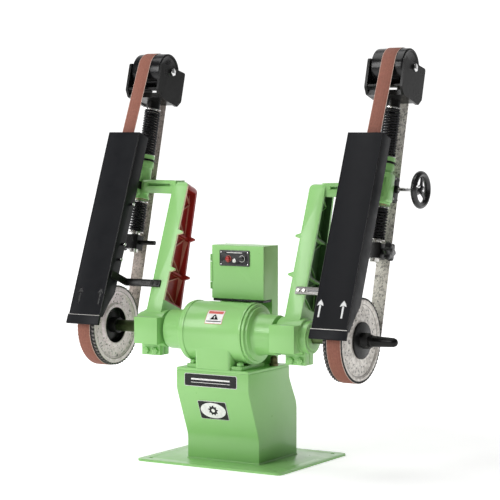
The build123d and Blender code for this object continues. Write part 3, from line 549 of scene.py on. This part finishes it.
def tube_into(bm, points, radius, sides=12, closed=False, material_index=0):
    """Adds a round tube along a list of points, without twist."""
    part = bmesh.new()
    count = len(points)
    rings = []
    across = None
    for index, point in enumerate(points):
        before = points[index - 1] if index or closed else points[0]
        after = points[(index + 1) % count] if index < count - 1 or closed else points[-1]
        ahead = (after - before).normalized()
        if across is None:
            across = ahead.orthogonal().normalized()
        across = (across - ahead * across.dot(ahead)).normalized()
        other = ahead.cross(across)
        ring = []
        for side in range(sides):
            turn = 2 * math.pi * side / sides
            ring.append(part.verts.new(point + (across * math.cos(turn) + other * math.sin(turn)) * radius))
        rings.append(ring)
    loft(part, rings, closed)
    join_into(bm, part, Matrix.Identity(4), material_index)


def circle(radius, steps):
    """Points (x, z) of a regular polygon."""
    return [around(radius, 2 * math.pi * step / steps) for step in range(steps)]


def rounded_outline(x0, x1, z0, z1, radius, steps=5):
    """Points (x, z) of a rectangle with round corners."""
    points = []
    for cx, cz, start in ((x1 - radius, z0 + radius, -90), (x1 - radius, z1 - radius, 0),
                          (x0 + radius, z1 - radius, 90), (x0 + radius, z0 + radius, 180)):
        for step in range(steps + 1):
            turn = math.radians(start + 90 * step / steps)
            points.append((cx + radius * math.cos(turn), cz + radius * math.sin(turn)))
    return points


def at_depth(y):
    """A frame set back by y, from which prisms are pulled forward."""
    return Matrix.Translation((0, y, 0))


def facing(point):
    """A frame at a point with X straight back from the operator, for turned pieces."""
    return Matrix.Translation(point) @ Matrix.Rotation(math.radians(90), 4, "Z")


# ---- stand ----
def build_stand():
    softened("floor_plate", 0.0016)
    softened("pedestal_column", 0.003, segments=3)
    softened("pedestal_top_plate", 0.002)
    softened("rear_access_cover", 0.0008)
    softened("motor_frame", 0.003, GREEN_CAST)
    softened("motor_foot_bolts", 0.0012, GREEN_CAST)
    softened("cable_gland", 0.0008, OLIVE)
    for side in ("left", "right"):
        softened(side + "_end_bell", 0.0025, GREEN_CAST, 3)
    build_nameplate()
    build_emblem()
    build_motor_label()
    build_plate_welds()


def build_nameplate():
    """Blank black plate with a thin pale line round it and a plain double rule."""
    low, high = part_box("nameplate")
    thickness = high.y - low.y
    bm = bmesh.new()
    place = at_depth(high.y)
    prism_into(bm, place, rounded_outline(low.x, high.x, low.z, high.z, 0.008), thickness, 0.0004, 1, 1)
    edge = 0.0022
    inner = rounded_outline(low.x + edge, high.x - edge, low.z + edge, high.z - edge, 0.006)
    prism_into(bm, place, inner, thickness + 0.0005, 0.0002, 1, 0)
    middle, centre = (low.z + high.z) / 2, (low.x + high.x) / 2
    half = 0.096
    for z, thick in ((middle + 0.004, 0.0034), (middle - 0.010, 0.0010)):
        bar = rounded_outline(centre - half, centre + half, z - thick, z + thick, thick * 0.9, 3)
        prism_into(bm, place, bar, thickness + 0.0008, 0.0, 1, 1)
    piece = to_object("nameplate_face", bm, [BLACK_GLOSS, WHITE_INK], "stand")
    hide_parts("nameplate")


def build_emblem():
    """Black plate on the sloping front, with a pale oval that holds a plain cog figure."""
    slope = math.atan2(PEDESTAL_SETBACK, 0.210)
    place = Matrix.Translation(middle_of("emblem_plate")) @ Matrix.Rotation(slope, 4, "X")
    bm = bmesh.new()
    half_x, half_z = 0.070, 0.044
    back = place @ at_depth(0.0008)
    prism_into(bm, back, rounded_outline(-half_x, half_x, -half_z, half_z, 0.005), 0.0018, 0.0003, 1, 1)
    half_x, half_z = half_x - 0.0016, half_z - 0.0016
    prism_into(bm, back, rounded_outline(-half_x, half_x, -half_z, half_z, 0.004), 0.0021, 0.0, 1, 0)
    oval = [(x * 0.062, z * 0.037) for x, z in circle(1.0, 64)]
    prism_into(bm, place, oval, 0.0017, 0.0, 1, 1)
    corners = 4 * 9
    cog = []
    for index in range(corners):
        reach = 0.0235 if index % 4 in (0, 1) else 0.018
        cog.append(around(reach, 2 * math.pi * index / corners))
    prism_into(bm, place @ at_depth(-0.0012), cog, 0.0009, 0.0, 1, 0)
    prism_into(bm, place @ at_depth(-0.0018), circle(0.0085, 32), 0.0006, 0.0, 1, 1)
    piece = to_object("emblem_face", bm, [BLACK_GLOSS, WHITE_INK], "stand")
    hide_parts("emblem_plate")


LABEL_REACH = 0.1283
LABEL_X = (-0.031, 0.053)


def build_motor_label():
    """Generic sticker wrapped on the barrel: pale with a red head band and a plain triangle."""
    bm = bmesh.new()

    def wrapped(x0, x1, angle0, angle1, lift, index, steps=10):
        """A sheet on the barrel, between two angles above the front in degrees."""
        grid = []
        for step in range(steps + 1):
            turn = math.radians(angle0 + (angle1 - angle0) * step / steps)
            ahead, up = around(LABEL_REACH + lift, turn)
            grid.append([bm.verts.new((x, SPINDLE.y - ahead, SPINDLE.z + up)) for x in (x0, x1)])
        for here, after in zip(grid, grid[1:]):
            face = bm.faces.new((here[0], here[1], after[1], after[0]))
            face.material_index = index

    left, right = LABEL_X
    middle = (left + right) / 2
    border, margin = 0.0018, 0.006
    wrapped(left, right, 20.5, 50, 0.0004, 1)
    wrapped(left + border, right - border, 21.4, 49.1, 0.0006, 0)
    wrapped(left + margin, right - margin, 41.5, 47.6, 0.0008, 1)
    wrapped(left + margin, right - margin, 24.5, 26.5, 0.0008, 2)
    for index in range(8):
        half = 0.019 * (1 - index / 8)
        wrapped(middle - half, middle + half, 29 + 1.4 * index, 30.4 + 1.4 * index, 0.0009, 2, 1)
    wrapped(middle - 0.0022, middle + 0.0022, 31, 36.5, 0.0011, 0, 2)
    for face in bm.faces:
        if face.normal.z < 0:
            face.normal_flip()
    to_object("motor_label", bm, [WHITE_INK, RED_INK, DARK_INK], "stand")


def build_plate_welds():
    """Weld bead where the pedestal stands on the floor plate."""
    low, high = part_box("pedestal_column")
    foot_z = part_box("floor_plate")[1].z + 0.0012
    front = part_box("nameplate")[1].y + PEDESTAL_SETBACK
    corners = [(low.x, front), (high.x, front), (high.x, high.y), (low.x, high.y)]
    ripple_length = 0.008
    bm = bmesh.new()
    for here, after in zip(corners, corners[1:] + corners[:1]):
        first, last = Vector((*here, foot_z)), Vector((*after, foot_z))
        steps = int((last - first).length / (ripple_length / 2))
        tube_into(bm, [first.lerp(last, step / steps) for step in range(steps + 1)], 0.004, 8)
    for vert in bm.verts:
        vert.co.z += 0.0004 * math.sin((vert.co.x + vert.co.y) * 2 * math.pi / ripple_length)
    to_object("pedestal_weld", bm, GREEN, "stand", crease=60)


# ---- control box ----
def build_control_box():
    softened("control_box_body", 0.0022)
    softened("control_box_door", 0.0015, segments=3)
    build_panel()
    build_gasket()
    softened("indicator_lamp", 0.0)
    build_buttons()
    softened("contactor", 0.001)


def build_gasket():
    """Black strip between the motor and the box; its corners are measured from the spindle."""
    bm = bmesh.new()
    box_into(bm, Matrix.Translation(SPINDLE), (-0.126, 0.101, 0.120), (0.126, 0.214, 0.1321), 0.002)
    to_object("box_gasket", bm, BLACK_PLASTIC, "stand")


def build_panel():
    """Switch panel with a plain rule, rings round the buttons and the lamp, and four screws."""
    low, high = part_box("switch_panel")
    bm = rounded_shape("switch_panel", 0.0006)
    for face in bm.faces:
        face.material_index = 0
    face_y = low.y + 0.002
    middle = (low.x + high.x) / 2
    rule = rounded_outline(middle - 0.038, middle + 0.038, high.z - 0.0115, high.z - 0.0085, 0.0012, 3)
    prism_into(bm, at_depth(face_y), rule, 0.0004, 0.0, 1, 1)
    for node, inner, outer, depth, index in (
            ("stop_button", 0.0122, 0.0145, 0.0008, 3), ("start_button", 0.0122, 0.0145, 0.0008, 1),
            ("indicator_lamp", 0.0074, 0.0092, 0.0022, 2)):
        spot = middle_of(node)
        ring_into(bm, (spot.x, face_y, spot.z), inner, outer, depth, index)
    inset = 0.008
    for x in (low.x + inset, high.x - inset):
        for z in (low.z + inset, high.z - inset):
            screw_into(bm, (x, low.y, z), 0.0034, 2)
    finishes = [BLACK_PLASTIC, WHITE_INK, CHROME, RED_INK]
    piece = to_object("switch_panel_face", bm, finishes, "door")
    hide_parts("switch_panel")


def ring_into(bm, centre, inner, outer, depth, index):
    """A flat ring that faces the operator."""
    profile = [(0.0, inner), (0.0, outer), (-depth * 0.7, outer), (-depth, outer - depth * 0.3),
               (-depth, inner)]
    lathe_into(bm, facing(centre), profile, 40, index)


def screw_into(bm, centre, radius, index):
    """A small domed screw head, facing the operator."""
    x, y, z = centre
    dome = [(0.0, 0.0), (0.0, radius), (-radius * 0.25, radius * 0.95), (-radius * 0.45, radius * 0.6),
            (-radius * 0.5, 0.0)]
    lathe_into(bm, facing((x, y + radius * 0.3, z)), dome, 20, index)


def build_buttons():
    """Mushroom caps on stems that reach to the back of the node."""
    for node, material in (("stop_button", RED_PLASTIC), ("start_button", BLACK_PLASTIC)):
        low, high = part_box(node)
        middle = middle_of(node)
        reach, length = (high.x - low.x) / 2, high.y - low.y
        profile = [(0.0, 0.0), (0.0, reach * 0.55), (0.0008, reach * 0.8), (0.0025, reach), (0.006, reach),
                   (0.006, 0.008), (length, 0.008), (length, 0.0)]
        bm = bmesh.new()
        lathe_into(bm, facing((middle.x, low.y, middle.z)), profile, 40)
        piece = to_object(node + "_cap", bm, material, body_of_node(node))
        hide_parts(node)


# ---- spindle and wheels ----
def build_spindle():
    softened("spindle_shaft", 0.002, OILED_SHAFT)
    softened("wheel_flanges", 0.0015, BLACK_CAST)
    softened("taper_nose", 0.001, BLACK_CAST, 3)
    for side in ("right", "left"):
        build_disc(side)
        build_tyre(side)


def build_bearings():
    """Bearings with slightly wider bores, which keeps the facets of the turning shaft clear of them."""
    wider, wall = 0.0003, 0.0005
    mesh = softened("spindle_bearings", 0.0).data
    reach = [math.hypot(vertex.co.y - SPINDLE.y, vertex.co.z - SPINDLE.z) for vertex in mesh.vertices]
    place = [round(abs(vertex.co.x), 1) for vertex in mesh.vertices]
    bore = {x: min(far for far, other in zip(reach, place) if other == x) for x in set(place)}
    for vertex, far, x in zip(mesh.vertices, reach, place):
        if far < bore[x] + wall:
            vertex.co.y = SPINDLE.y + (vertex.co.y - SPINDLE.y) * (1 + wider / far)
            vertex.co.z = SPINDLE.z + (vertex.co.z - SPINDLE.z) * (1 + wider / far)


def build_disc(side):
    """Cast disc: machined rim ring, web set back on both sides, hub recess inboard."""
    rim, inner, outer = RIM_R, WHEEL_IN_X, WHEEL_OUT_X
    out_profile = [
        (outer - 0.0012, rim), (outer - 0.0008, rim - 0.0015), (outer - 0.0010, rim - 0.0105),
        (outer - 0.0035, rim - 0.0135), (outer - 0.0065, rim - 0.018), (outer - 0.0072, rim - 0.022),
        (outer - 0.0072, 0.112), (outer - 0.0060, 0.106), (outer - 0.0040, 0.101), (outer - 0.0030, 0.096),
        (outer - 0.0024, 0.0255),
    ]
    in_profile = [
        (inner + 0.0300, 0.0255), (inner + 0.0300, 0.0745), (inner + 0.0275, 0.0762),
        (inner + 0.0030, 0.0778), (inner + 0.0010, 0.0800), (inner + 0.0012, 0.0905),
        (inner + 0.0060, 0.0960), (inner + 0.0092, 0.1000), (inner + 0.0092, 0.1380),
        (inner + 0.0060, 0.1430), (inner + 0.0016, 0.1490), (inner + 0.0010, 0.1650),
        (inner + 0.0016, rim),
    ]
    bm = bmesh.new()
    place = Matrix.Translation((0, SPINDLE.y, SPINDLE.z))
    lathe_into(bm, place, out_profile + in_profile, 160)
    for face in bm.faces:
        spot = face.calc_center_median()
        reach = math.hypot(spot.y - SPINDLE.y, spot.z - SPINDLE.z)
        recess = reach < HUB_RECESS_R and spot.x < inner + HUB_RECESS_DEPTH
        face.material_index = 1 if recess else 2 if spot.x < (inner + outer) / 2 else 0
    finishes = [DISC, BLACK_CAST, DISC_INBOARD]
    piece = to_object(side + "_wheel_disc", bm, finishes, "spindle", side, 28)
    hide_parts(side + "_contact_wheel")


def build_tyre(side):
    """Rubber tread with slanting lands and grooves across its width."""
    per_land = 6
    steps = 60 * per_land
    stations = 9
    left, right = WHEEL_IN_X + 0.0002, WHEEL_OUT_X - 0.0002
    bm = bmesh.new()

    def corner(x, radius, turn):
        y, z = around(radius, turn)
        return bm.verts.new((x, SPINDLE.y + y, SPINDLE.z + z))

    rings = []
    for step in range(steps):
        turn = 2 * math.pi * step / steps
        ring = []
        for station in range(stations):
            share = station / (stations - 1)
            slant = share * per_land * 2.0
            phase = ((step + slant) % per_land) / per_land
            depth = 0.0038 if phase < 0.34 else 0.0
            ring.append(corner(left + (right - left) * share, WHEEL_R - 0.0001 - depth, turn))
        ring += [corner(x, TYRE_BORE_R, turn) for x in (right, left)]
        rings.append(ring)
    for step, (here, after) in enumerate(zip(rings, rings[1:] + rings[:1])):
        faces = bridge(bm, here, after)
        if step % per_land > 2:
            faces[0].material_index = faces[-1].material_index = 1
    bmesh.ops.recalc_face_normals(bm, faces=bm.faces)
    piece = to_object(side + "_tread", bm, [RUBBER, RUBBER_WORN], "spindle", side, 25)
    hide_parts(side + "_wheel_tyre")


# ---- belts ----
def belt_path(offset):
    """Closed path (y, z) of the belt at an offset from the wheel and the drum."""
    wheel_r, drum_r = WHEEL_R + offset, DRUM_R + offset
    wheel, drum = Vector((SPINDLE.y, SPINDLE.z)), Vector((IDLER.y, IDLER.z))
    gap = drum - wheel
    heading = math.atan2(gap.y, gap.x)
    swing = math.acos((wheel_r - drum_r) / gap.length)
    points = []

    def arc(centre, radius, start, stop, steps):
        for step in range(steps + 1):
            turn = start + (stop - start) * step / steps
            points.append(centre + Vector(around(radius, turn)))

    def run(last):
        first, steps = points[-1], 48
        points.extend([first.lerp(last, step / steps) for step in range(1, steps)])

    arc(wheel, wheel_r, heading + swing, heading + 2 * math.pi - swing, 72)
    run(drum + Vector(around(drum_r, heading - swing)))
    arc(drum, drum_r, heading - swing, heading + swing, 40)
    run(points[0])
    return points


def build_belt(side):
    """One closed band with grit outside, cloth inside and rounded edges; its upper end follows the drum."""
    half, thick = BELT_WIDTH / 2, BELT_THICKNESS
    section = [(-half, 0.0002), (-half + 0.0006, 0.0), (half - 0.0006, 0.0), (half, 0.0002),
               (half, thick - 0.0004), (half - 0.0008, thick), (-half + 0.0008, thick),
               (-half, thick - 0.0004)]
    lift = 0.0003
    inner, outer = belt_path(lift), belt_path(lift + thick)
    lengths = [0.0]
    for first, last in zip(inner, inner[1:] + inner[:1]):
        lengths.append(lengths[-1] + (last - first).length)
    bm = bmesh.new()
    layer = bm.loops.layers.uv.new("UVMap")
    rings = []
    for low, high in zip(inner, outer):
        spots = [(x, low.lerp(high, depth / thick)) for x, depth in section]
        rings.append([bm.verts.new((WHEEL_X + BELT_SHIFT + x, *spot)) for x, spot in spots])
    for step, (here, after) in enumerate(zip(rings, rings[1:] + rings[:1])):
        for index, face in enumerate(bridge(bm, here, after)):
            face.material_index = 0 if index in (4, 5, 6) else 1
            x, other_x = section[index][0], section[(index + 1) % len(section)][0]
            spans = ((lengths[step], x), (lengths[step], other_x),
                     (lengths[step + 1], other_x), (lengths[step + 1], x))
            for loop, uv in zip(face.loops, spans):
                loop[layer].uv = uv
    bmesh.ops.recalc_face_normals(bm, faces=bm.faces)
    piece = to_object(side + "_belt", bm, [GRIT, CLOTH[side]], None, side, 40)
    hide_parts(side + "_abrasive_belt")
    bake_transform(piece)


# ---- springs ----
def spring(side, node, fixed, moving, mean_r, wire_r, turns):
    """Compression spring round the rod with closed ends; fixed and moving are places along the rod."""
    steps = 26
    dead = 1.1
    low, high = min(fixed, moving), max(fixed, moving)
    span = high - low - 2 * wire_r
    closed = 2 * wire_r * 1.03
    free = (span - 2 * dead * closed) / (turns - 2 * dead)
    place = rod_matrix()
    points = []
    height = low + wire_r
    for step in range(int(turns * steps) + 1):
        turn = step / steps
        points.append(place @ Vector((*around(mean_r, 2 * math.pi * turn), height)))
        near_end = turn < dead or turn > turns - dead
        height += (closed if near_end else free) / steps
    bm = bmesh.new()
    tube_into(bm, points, wire_r, 12)
    piece = to_object(side + "_" + node + "_coil", bm, SPRING_STEEL, None, side, 60)
    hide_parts(side + "_" + node)
    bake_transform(piece)


def seat_ring(side, name, along, body, radius, thick=0.004, hole=0.0202, material=CHROME):
    """Ring round the rod or its sleeve, such as the bright washer that a spring sits on."""
    bevel = 0.0008
    profile = [(0, hole), (0, radius - 0.001), (bevel, radius), (thick - bevel, radius),
               (thick, radius - 0.001), (thick, hole)]
    bm = bmesh.new()
    lathe_into(bm, rod_matrix(0, 0, along) @ Matrix.Rotation(math.radians(-90), 4, "Y"), profile, 64)
    to_object(side + "_" + name, bm, material, body, side)


# ---- arm ----
def paint_arm(side):
    """Arm casting with rounded edges: green, with red in the recess that faces the motor, pale thin ribs as a
    painted highlight, cream on the recess's front edge as a painted highlight, and dark green in the outer
    recess as painted shade."""
    start = arm_point(0, 0, 0)
    ahead = arm_point(0, 1, 0) - start
    upward = arm_point(0, 0, 1) - start
    cuts = [(arm_point(0, forward, 0), ahead) for forward in (RECESS_FRONT, FLANGE_FRONT)]
    cuts += [(arm_point(0, 0, up), upward) for up in (RECESS_FOOT, RECESS_TOP)]
    mesh = softened(side + "_arm_frame", 0.0022, GREEN_CAST, cuts=cuts, crease=24.0).data
    for material in (RED_CAST, RIB_RED_HIGHLIGHT, CREAM_PAINTED_HIGHLIGHT, GREEN_PAINTED_SHADE):
        mesh.materials.append(material)
    lean_sin, lean_cos = math.sin(ARM_LEAN), math.cos(ARM_LEAN)
    for face in mesh.polygons:
        x = abs(face.center.x)
        dy, dz = face.center.y - SPINDLE.y, face.center.z - SPINDLE.z
        up = dy * lean_sin + dz * lean_cos
        forward = dz * lean_sin - dy * lean_cos
        rearward = -face.normal.dot(ahead)
        walled = rearward > 0.7 and 0.030 < forward < 0.055 or rearward < -0.7 and forward < 0.030
        floored = abs(face.normal.x) > 0.9 and forward < 0.055
        # The outer recess's walls and floor are painted dark green: painted shade.
        if inside(x, OUTER_RECESS_X) and inside(up, OUTER_RECESS_UP) and (walled or floored):
            face.material_index = 4
        back = rearward > 0.5 and forward < 0.0 and abs(face.normal.x) < 0.4
        if back or not (inside(x, RECESS_X) and RECESS_FOOT < up < RECESS_TOP):
            continue
        # Ribs in the recess get the lighter red as a painted highlight; the rest of the recess is red paint.
        if forward < RECESS_FRONT:
            face.material_index = 2 if inside(x, RIB_X) else 1
        # The narrow face in front of the recess is painted cream: a painted highlight for the light it
        # catches.
        elif forward < FLANGE_FRONT and x < ARM_EDGE_X:
            face.material_index = 3


def build_arm(side):
    paint_arm(side)
    softened(side + "_clamp_bolts", 0.0012, GREEN_CAST)
    build_guard(side)
    build_gear_cover(side)
    build_brackets(side)
    spring(side, "upper_spring", -0.378, -0.174, 0.0325, 0.0046, 17)
    spring(side, "lower_spring", -0.600, -0.734, 0.030, 0.0042, 11)
    seat_ring(side, "upper_seat", -0.3835, side + "_arm", 0.0385)
    seat_ring(side, "foot_seat", -0.6000, side + "_arm", 0.0355, 0.005)
    seat_ring(side, "head_seat", -0.1735, side + "_head", 0.0370, 0.005)
    seat_ring(side, "lock_ring", -0.4110, side + "_arm", 0.0425, 0.008, 0.0331, BLACK_CAST)
    build_belt(side)
    build_handwheel(side)
    build_knob(side)
    build_head(side)


def build_gear_cover(side):
    """Rounded cast block over the pinion's outer end, with four screws and a collar for the shaft."""
    bm = bmesh.new()
    box_into(bm, rod_matrix(), (0.0220, 0.0040, -0.566), (0.0465, 0.0580, -0.458), 0.007, 4)
    collar = [(0.0460, 0.0095), (0.0460, 0.0170), (0.0560, 0.0160), (0.0575, 0.0145), (0.0575, 0.0095)]
    lathe_into(bm, cross_matrix(PINION), collar, 40)
    screw = [(0.0, 0.0), (0.0, 0.0048), (0.0022, 0.0046), (0.0030, 0.0030), (0.0030, 0.0)]
    for back in (0.0125, 0.0495):
        for along in (-0.555, -0.469):
            lathe_into(bm, rod_matrix(0.0460, back, along), screw, 20, 1)
    to_object(side + "_gear_cover", bm, [BLACK_CAST, STEEL], side + "_arm", side)


def build_guard(side):
    """Folded sheet guard with a hem down each fold, a bright steel line along the lip as a painted highlight,
    two arrows and three pins.
    """
    softened(side + "_guard_cover", 0.0012, BLACK)
    shaft = [(-0.0040, -0.040), (0.0040, -0.040), (0.0040, 0.010), (-0.0040, 0.010)]
    tip = [(-0.0150, 0.008), (-0.0040, 0.012), (0.0040, 0.012), (0.0150, 0.008), (0.0105, 0.020),
           (0.0, 0.034), (-0.0105, 0.020)]
    bm = bmesh.new()
    for x in (GUARD_X0 + 0.022, GUARD_X1 - 0.037):
        place = arm_matrix(x, GUARD_FRONT, 0.075) @ at_depth(0.0006)
        prism_into(bm, place, shaft, 0.0010)
        prism_into(bm, place, tip, 0.0012)
    ink = ARROW_INK if side == "right" else DARK_INK
    to_object(side + "_guard_arrows", bm, ink, side + "_arm", side)

    bm = bmesh.new()
    for x in (GUARD_X0 + 0.0015, GUARD_X1 - 0.0015):
        tube_into(bm, [arm_point(x, GUARD_FRONT - 0.0012, up) for up in (-0.010, 0.825)], 0.0022, 10)
    # Painted highlight: a thin bright steel rod along the lip's top stands for its highlight line.
    lip = [arm_point(x, GUARD_FRONT + 0.0052, -0.0155) for x in (GUARD_X0 - 0.0015, GUARD_X1 + 0.0015)]
    tube_into(bm, lip, 0.0016, 10, material_index=1)
    to_object(side + "_guard_hems", bm, [BLACK_GLOSS, STEEL], side + "_arm", side, 60)

    bm = bmesh.new()
    inward = Matrix.Rotation(math.radians(180), 4, "Y")
    pin = [(-0.001, 0.0), (-0.001, 0.0072), (0.0022, 0.0068), (0.0034, 0.0040), (0.0036, 0.0)]
    for up in (0.255, 0.325, 0.510):
        lathe_into(bm, arm_matrix(GUARD_X0 - 0.016, 0.150, up) @ inward, pin, 24)
    to_object(side + "_guard_pins", bm, CHROME, side + "_arm", side)


def build_brackets(side):
    """Sheet brackets with a dark slot and two bolt heads on the lower one; the left arm's brackets are black
    as painted shade, and the slot is a dark sheet of painted shade.
    """
    # Painted shade: the left arm's brackets get black iron because they stand in shade, and the right ones
    # get bright steel.
    finish = STEEL if side == "right" else BLACK_CAST
    softened(side + "_guard_brackets", 0.0008, finish)
    forward, up = 0.068, 0.180
    bm = bmesh.new()
    for x in (0.352, 0.378):
        prism_into(bm, arm_matrix(x, forward, up) @ at_depth(0.0002), circle(0.0085, 6), 0.0050, 0.0008, 1, 0)
    # The slot is a thin dark ink sheet: painted shade where the slot opens.
    slot = rounded_outline(-0.010, 0.040, -0.0045, 0.0045, 0.004, 4)
    prism_into(bm, arm_matrix(0.405, forward, up) @ at_depth(0.0002), slot, 0.0006, 0.0, 1, 1)
    to_object(side + "_bracket_bolts", bm, [finish, DARK_INK], side + "_arm", side)


# ---- head, knob, handwheel ----
def build_head(side):
    """Idler head, and the smaller turned pieces that keep their CAD shape."""
    softened(side + "_idler_yoke", 0.0028, BLACK_CAST, crease=20.0)
    softened(side + "_tension_rod", 0.0008, STEEL_ROD)
    softened(side + "_rod_stop_block", 0.0022, BLACK_CAST, crease=20.0)
    softened(side + "_idler_drum", 0.0012, BLACK_GLOSS)
    softened(side + "_idler_axle", 0.0012, CHROME)
    softened(side + "_pinion_shaft", 0.0004, CHROME)


def spoke():
    """A tapering oval spoke from the hub to the rim, along Z."""
    part = bmesh.new()
    rows = []
    for step in range(7):
        share = step / 6
        wide = 0.0145 - 0.0025 * math.sin(math.pi * share)
        thick = 0.0052 - 0.0012 * math.sin(math.pi * share)
        radius = 0.013 + share * 0.044
        rows.append([part.verts.new((thick * x, wide * y, radius)) for x, y in circle(1.0, 14)])
    loft(part, rows)
    return part


def build_handwheel(side):
    """Handwheel with a round rim, three tapering spokes, hub and a turned grip."""
    body = body_of_node(side + "_handwheel")
    place = cross_matrix(PINION + Vector((HANDWHEEL_X, 0, 0)))
    rim_r, ring_r = 0.0138, 0.0655
    bm = bmesh.new()
    tube_into(bm, [place @ Vector((0, *spot)) for spot in circle(ring_r, 72)], rim_r, 18, True)
    hub_profile = [(-0.016, 0.0082), (-0.016, 0.0150), (-0.012, 0.0170), (0.004, 0.0185), (0.010, 0.0165),
                   (0.012, 0.0130), (0.012, 0.0082)]
    lathe_into(bm, place, hub_profile, 48)
    for index in range(3):
        join_into(bm, spoke(), place @ Matrix.Rotation(2 * math.pi * index / 3, 4, "X"))
    grip = place @ Matrix.Rotation(math.radians(90), 4, "X") @ Matrix.Translation((0, 0, ring_r))
    grip_profile = [(0.002, 0.0), (0.002, 0.0052), (0.008, 0.0052), (0.011, 0.0068), (0.018, 0.0070),
                    (0.0245, 0.0062), (0.027, 0.0040), (0.0272, 0.0)]
    lathe_into(bm, grip, grip_profile, 28, 1)
    piece = to_object(side + "_handwheel_rim", bm, [BLACK_PLASTIC, CHROME], body, side, 40)
    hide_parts(side + "_handwheel")


def build_knob(side):
    """Six-lobed clamp knob with a domed cap and a collar."""
    node = side + "_star_knob"
    place = cross_matrix(KNOB)
    bm = bmesh.new()
    steps = 96
    rings = []
    layers = ((0.0502, 0.80), (0.0520, 0.94), (0.0560, 1.0), (0.0710, 1.0), (0.0750, 0.95), (0.0772, 0.82))
    for x, scale in layers:
        ring = []
        for step in range(steps):
            turn = 2 * math.pi * step / steps
            reach = (0.0352 + 0.0056 * math.cos(6 * turn)) * scale
            ring.append(bm.verts.new((x, *around(reach, turn))))
        rings.append(ring)
    loft(bm, rings)
    bm.transform(place)
    cap = [(0.0770, 0.0), (0.0770, 0.0165), (0.0778, 0.0155), (0.0780, 0.0)]
    collar = [(0.0210, 0.0), (0.0210, 0.006), (0.0362, 0.006), (0.0362, 0.0135), (0.0510, 0.0140),
              (0.0510, 0.0)]
    for profile in (cap, collar):
        lathe_into(bm, place, profile, 40)
    finishes = [BLACK_PLASTIC, STEEL]
    piece = to_object(node + "_cap", bm, finishes, body_of_node(node), side, 40)
    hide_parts(node)


# ---- nodes that keep their CAD shape ----
def dress_cad_nodes():
    """Gives every CAD node its finish."""
    for node, shape in frame["nodes"].items():
        shape.data.materials.clear()
        shape.data.materials.append(SLOT_MATERIAL[SLOT_OF[node]])


# ---- studio ----
def area_light(name, place, target, size, power):
    data = bpy.data.lights.new(name, "AREA")
    data.shape = "RECTANGLE"
    data.size, data.size_y = size
    data.energy = power
    light = bpy.data.objects.new(name, data)
    bpy.context.scene.collection.objects.link(light)
    light.location = place
    light.rotation_euler = (Vector(target) - Vector(place)).to_track_quat("-Z", "Y").to_euler()


def build_studio():
    """White floor that brightens away from the machine, and three soft lights."""
    bm = bmesh.new()
    bmesh.ops.create_grid(bm, x_segments=8, y_segments=8, size=30.0)
    mesh = bpy.data.meshes.new("studio_floor")
    bm.to_mesh(mesh)
    bm.free()
    s = new_material("studio_floor")
    where = s.place()
    speck = s.noise(where, 3.0, 3.0)
    away = s.add("VectorMath", {"operation": "LENGTH"}, _0=where).outputs["Value"]
    pale = s.finish(s.mix(speck, (0.90, 0.90, 0.90), (0.93, 0.93, 0.93)), 0.9, specular=0.0)
    surface = pale.node_tree.nodes["Principled BSDF"]
    surface.inputs["Emission Color"].default_value = (1.0, 1.0, 1.0, 1.0)
    s.tree.links.new(s.between(away, 1.2, 3.8, 0.46, 1.05), surface.inputs["Emission Strength"])
    mesh.materials.append(pale)
    floor = bpy.data.objects.new("studio_floor", mesh)
    bpy.context.scene.collection.objects.link(floor)
    middle = (0, 0, 0.9)
    area_light("key", (-2.2, -4.8, 3.4), middle, (2.6, 2.6), 160)
    area_light("top", (-0.6, -0.4, 4.8), middle, (3.0, 3.0), 80)
    area_light("side", (-4.8, -0.6, 2.4), middle, (2.0, 2.6), 45)
    build_world()


def build_world():
    """White backdrop beyond the machine, dimmer towards the operator's right."""
    world = bpy.data.worlds.new("studio")
    s = Shader(world)
    away = s.add("TexCoord").outputs["Generated"]
    toward = s.add("VectorMath", {"operation": "DOT_PRODUCT"}, _0=away, _1=(-0.5, 0.86, 0.0)).outputs["Value"]
    strength = s.between(toward, 0.35, 0.85, 0.10, 1.12)
    backdrop = s.add("Background", Color=(1.0, 1.0, 1.0, 1.0), Strength=strength)
    s.add("OutputWorld", Surface=backdrop.outputs[0])
    bpy.context.scene.world = world


CAMERA_TARGET = Vector((0.120, -0.138, 0.912))
CAMERA_AZIMUTH = math.radians(31.0)
CAMERA_PITCH = math.radians(3.6)
CAMERA_DISTANCE = 7.978
CAMERA_LENS = 136.8


def build_camera():
    data = bpy.data.cameras.new("camera")
    data.lens = CAMERA_LENS
    data.sensor_width = 36.0
    camera = bpy.data.objects.new("camera", data)
    bpy.context.scene.collection.objects.link(camera)
    level, height = around(1.0, CAMERA_PITCH)
    back, right = around(level, CAMERA_AZIMUTH)
    away = Vector((right, -back, height))
    camera.location = CAMERA_TARGET + away * CAMERA_DISTANCE
    camera.rotation_euler = (-away).to_track_quat("-Z", "Y").to_euler()
    bpy.context.scene.camera = camera
    bpy.context.scene.view_settings.view_transform = "Standard"


build_camera()
build_studio()
build_stand()
build_control_box()
build_spindle()
build_bearings()
for arm_side in ("right", "left"):
    build_arm(arm_side)
dress_cad_nodes()
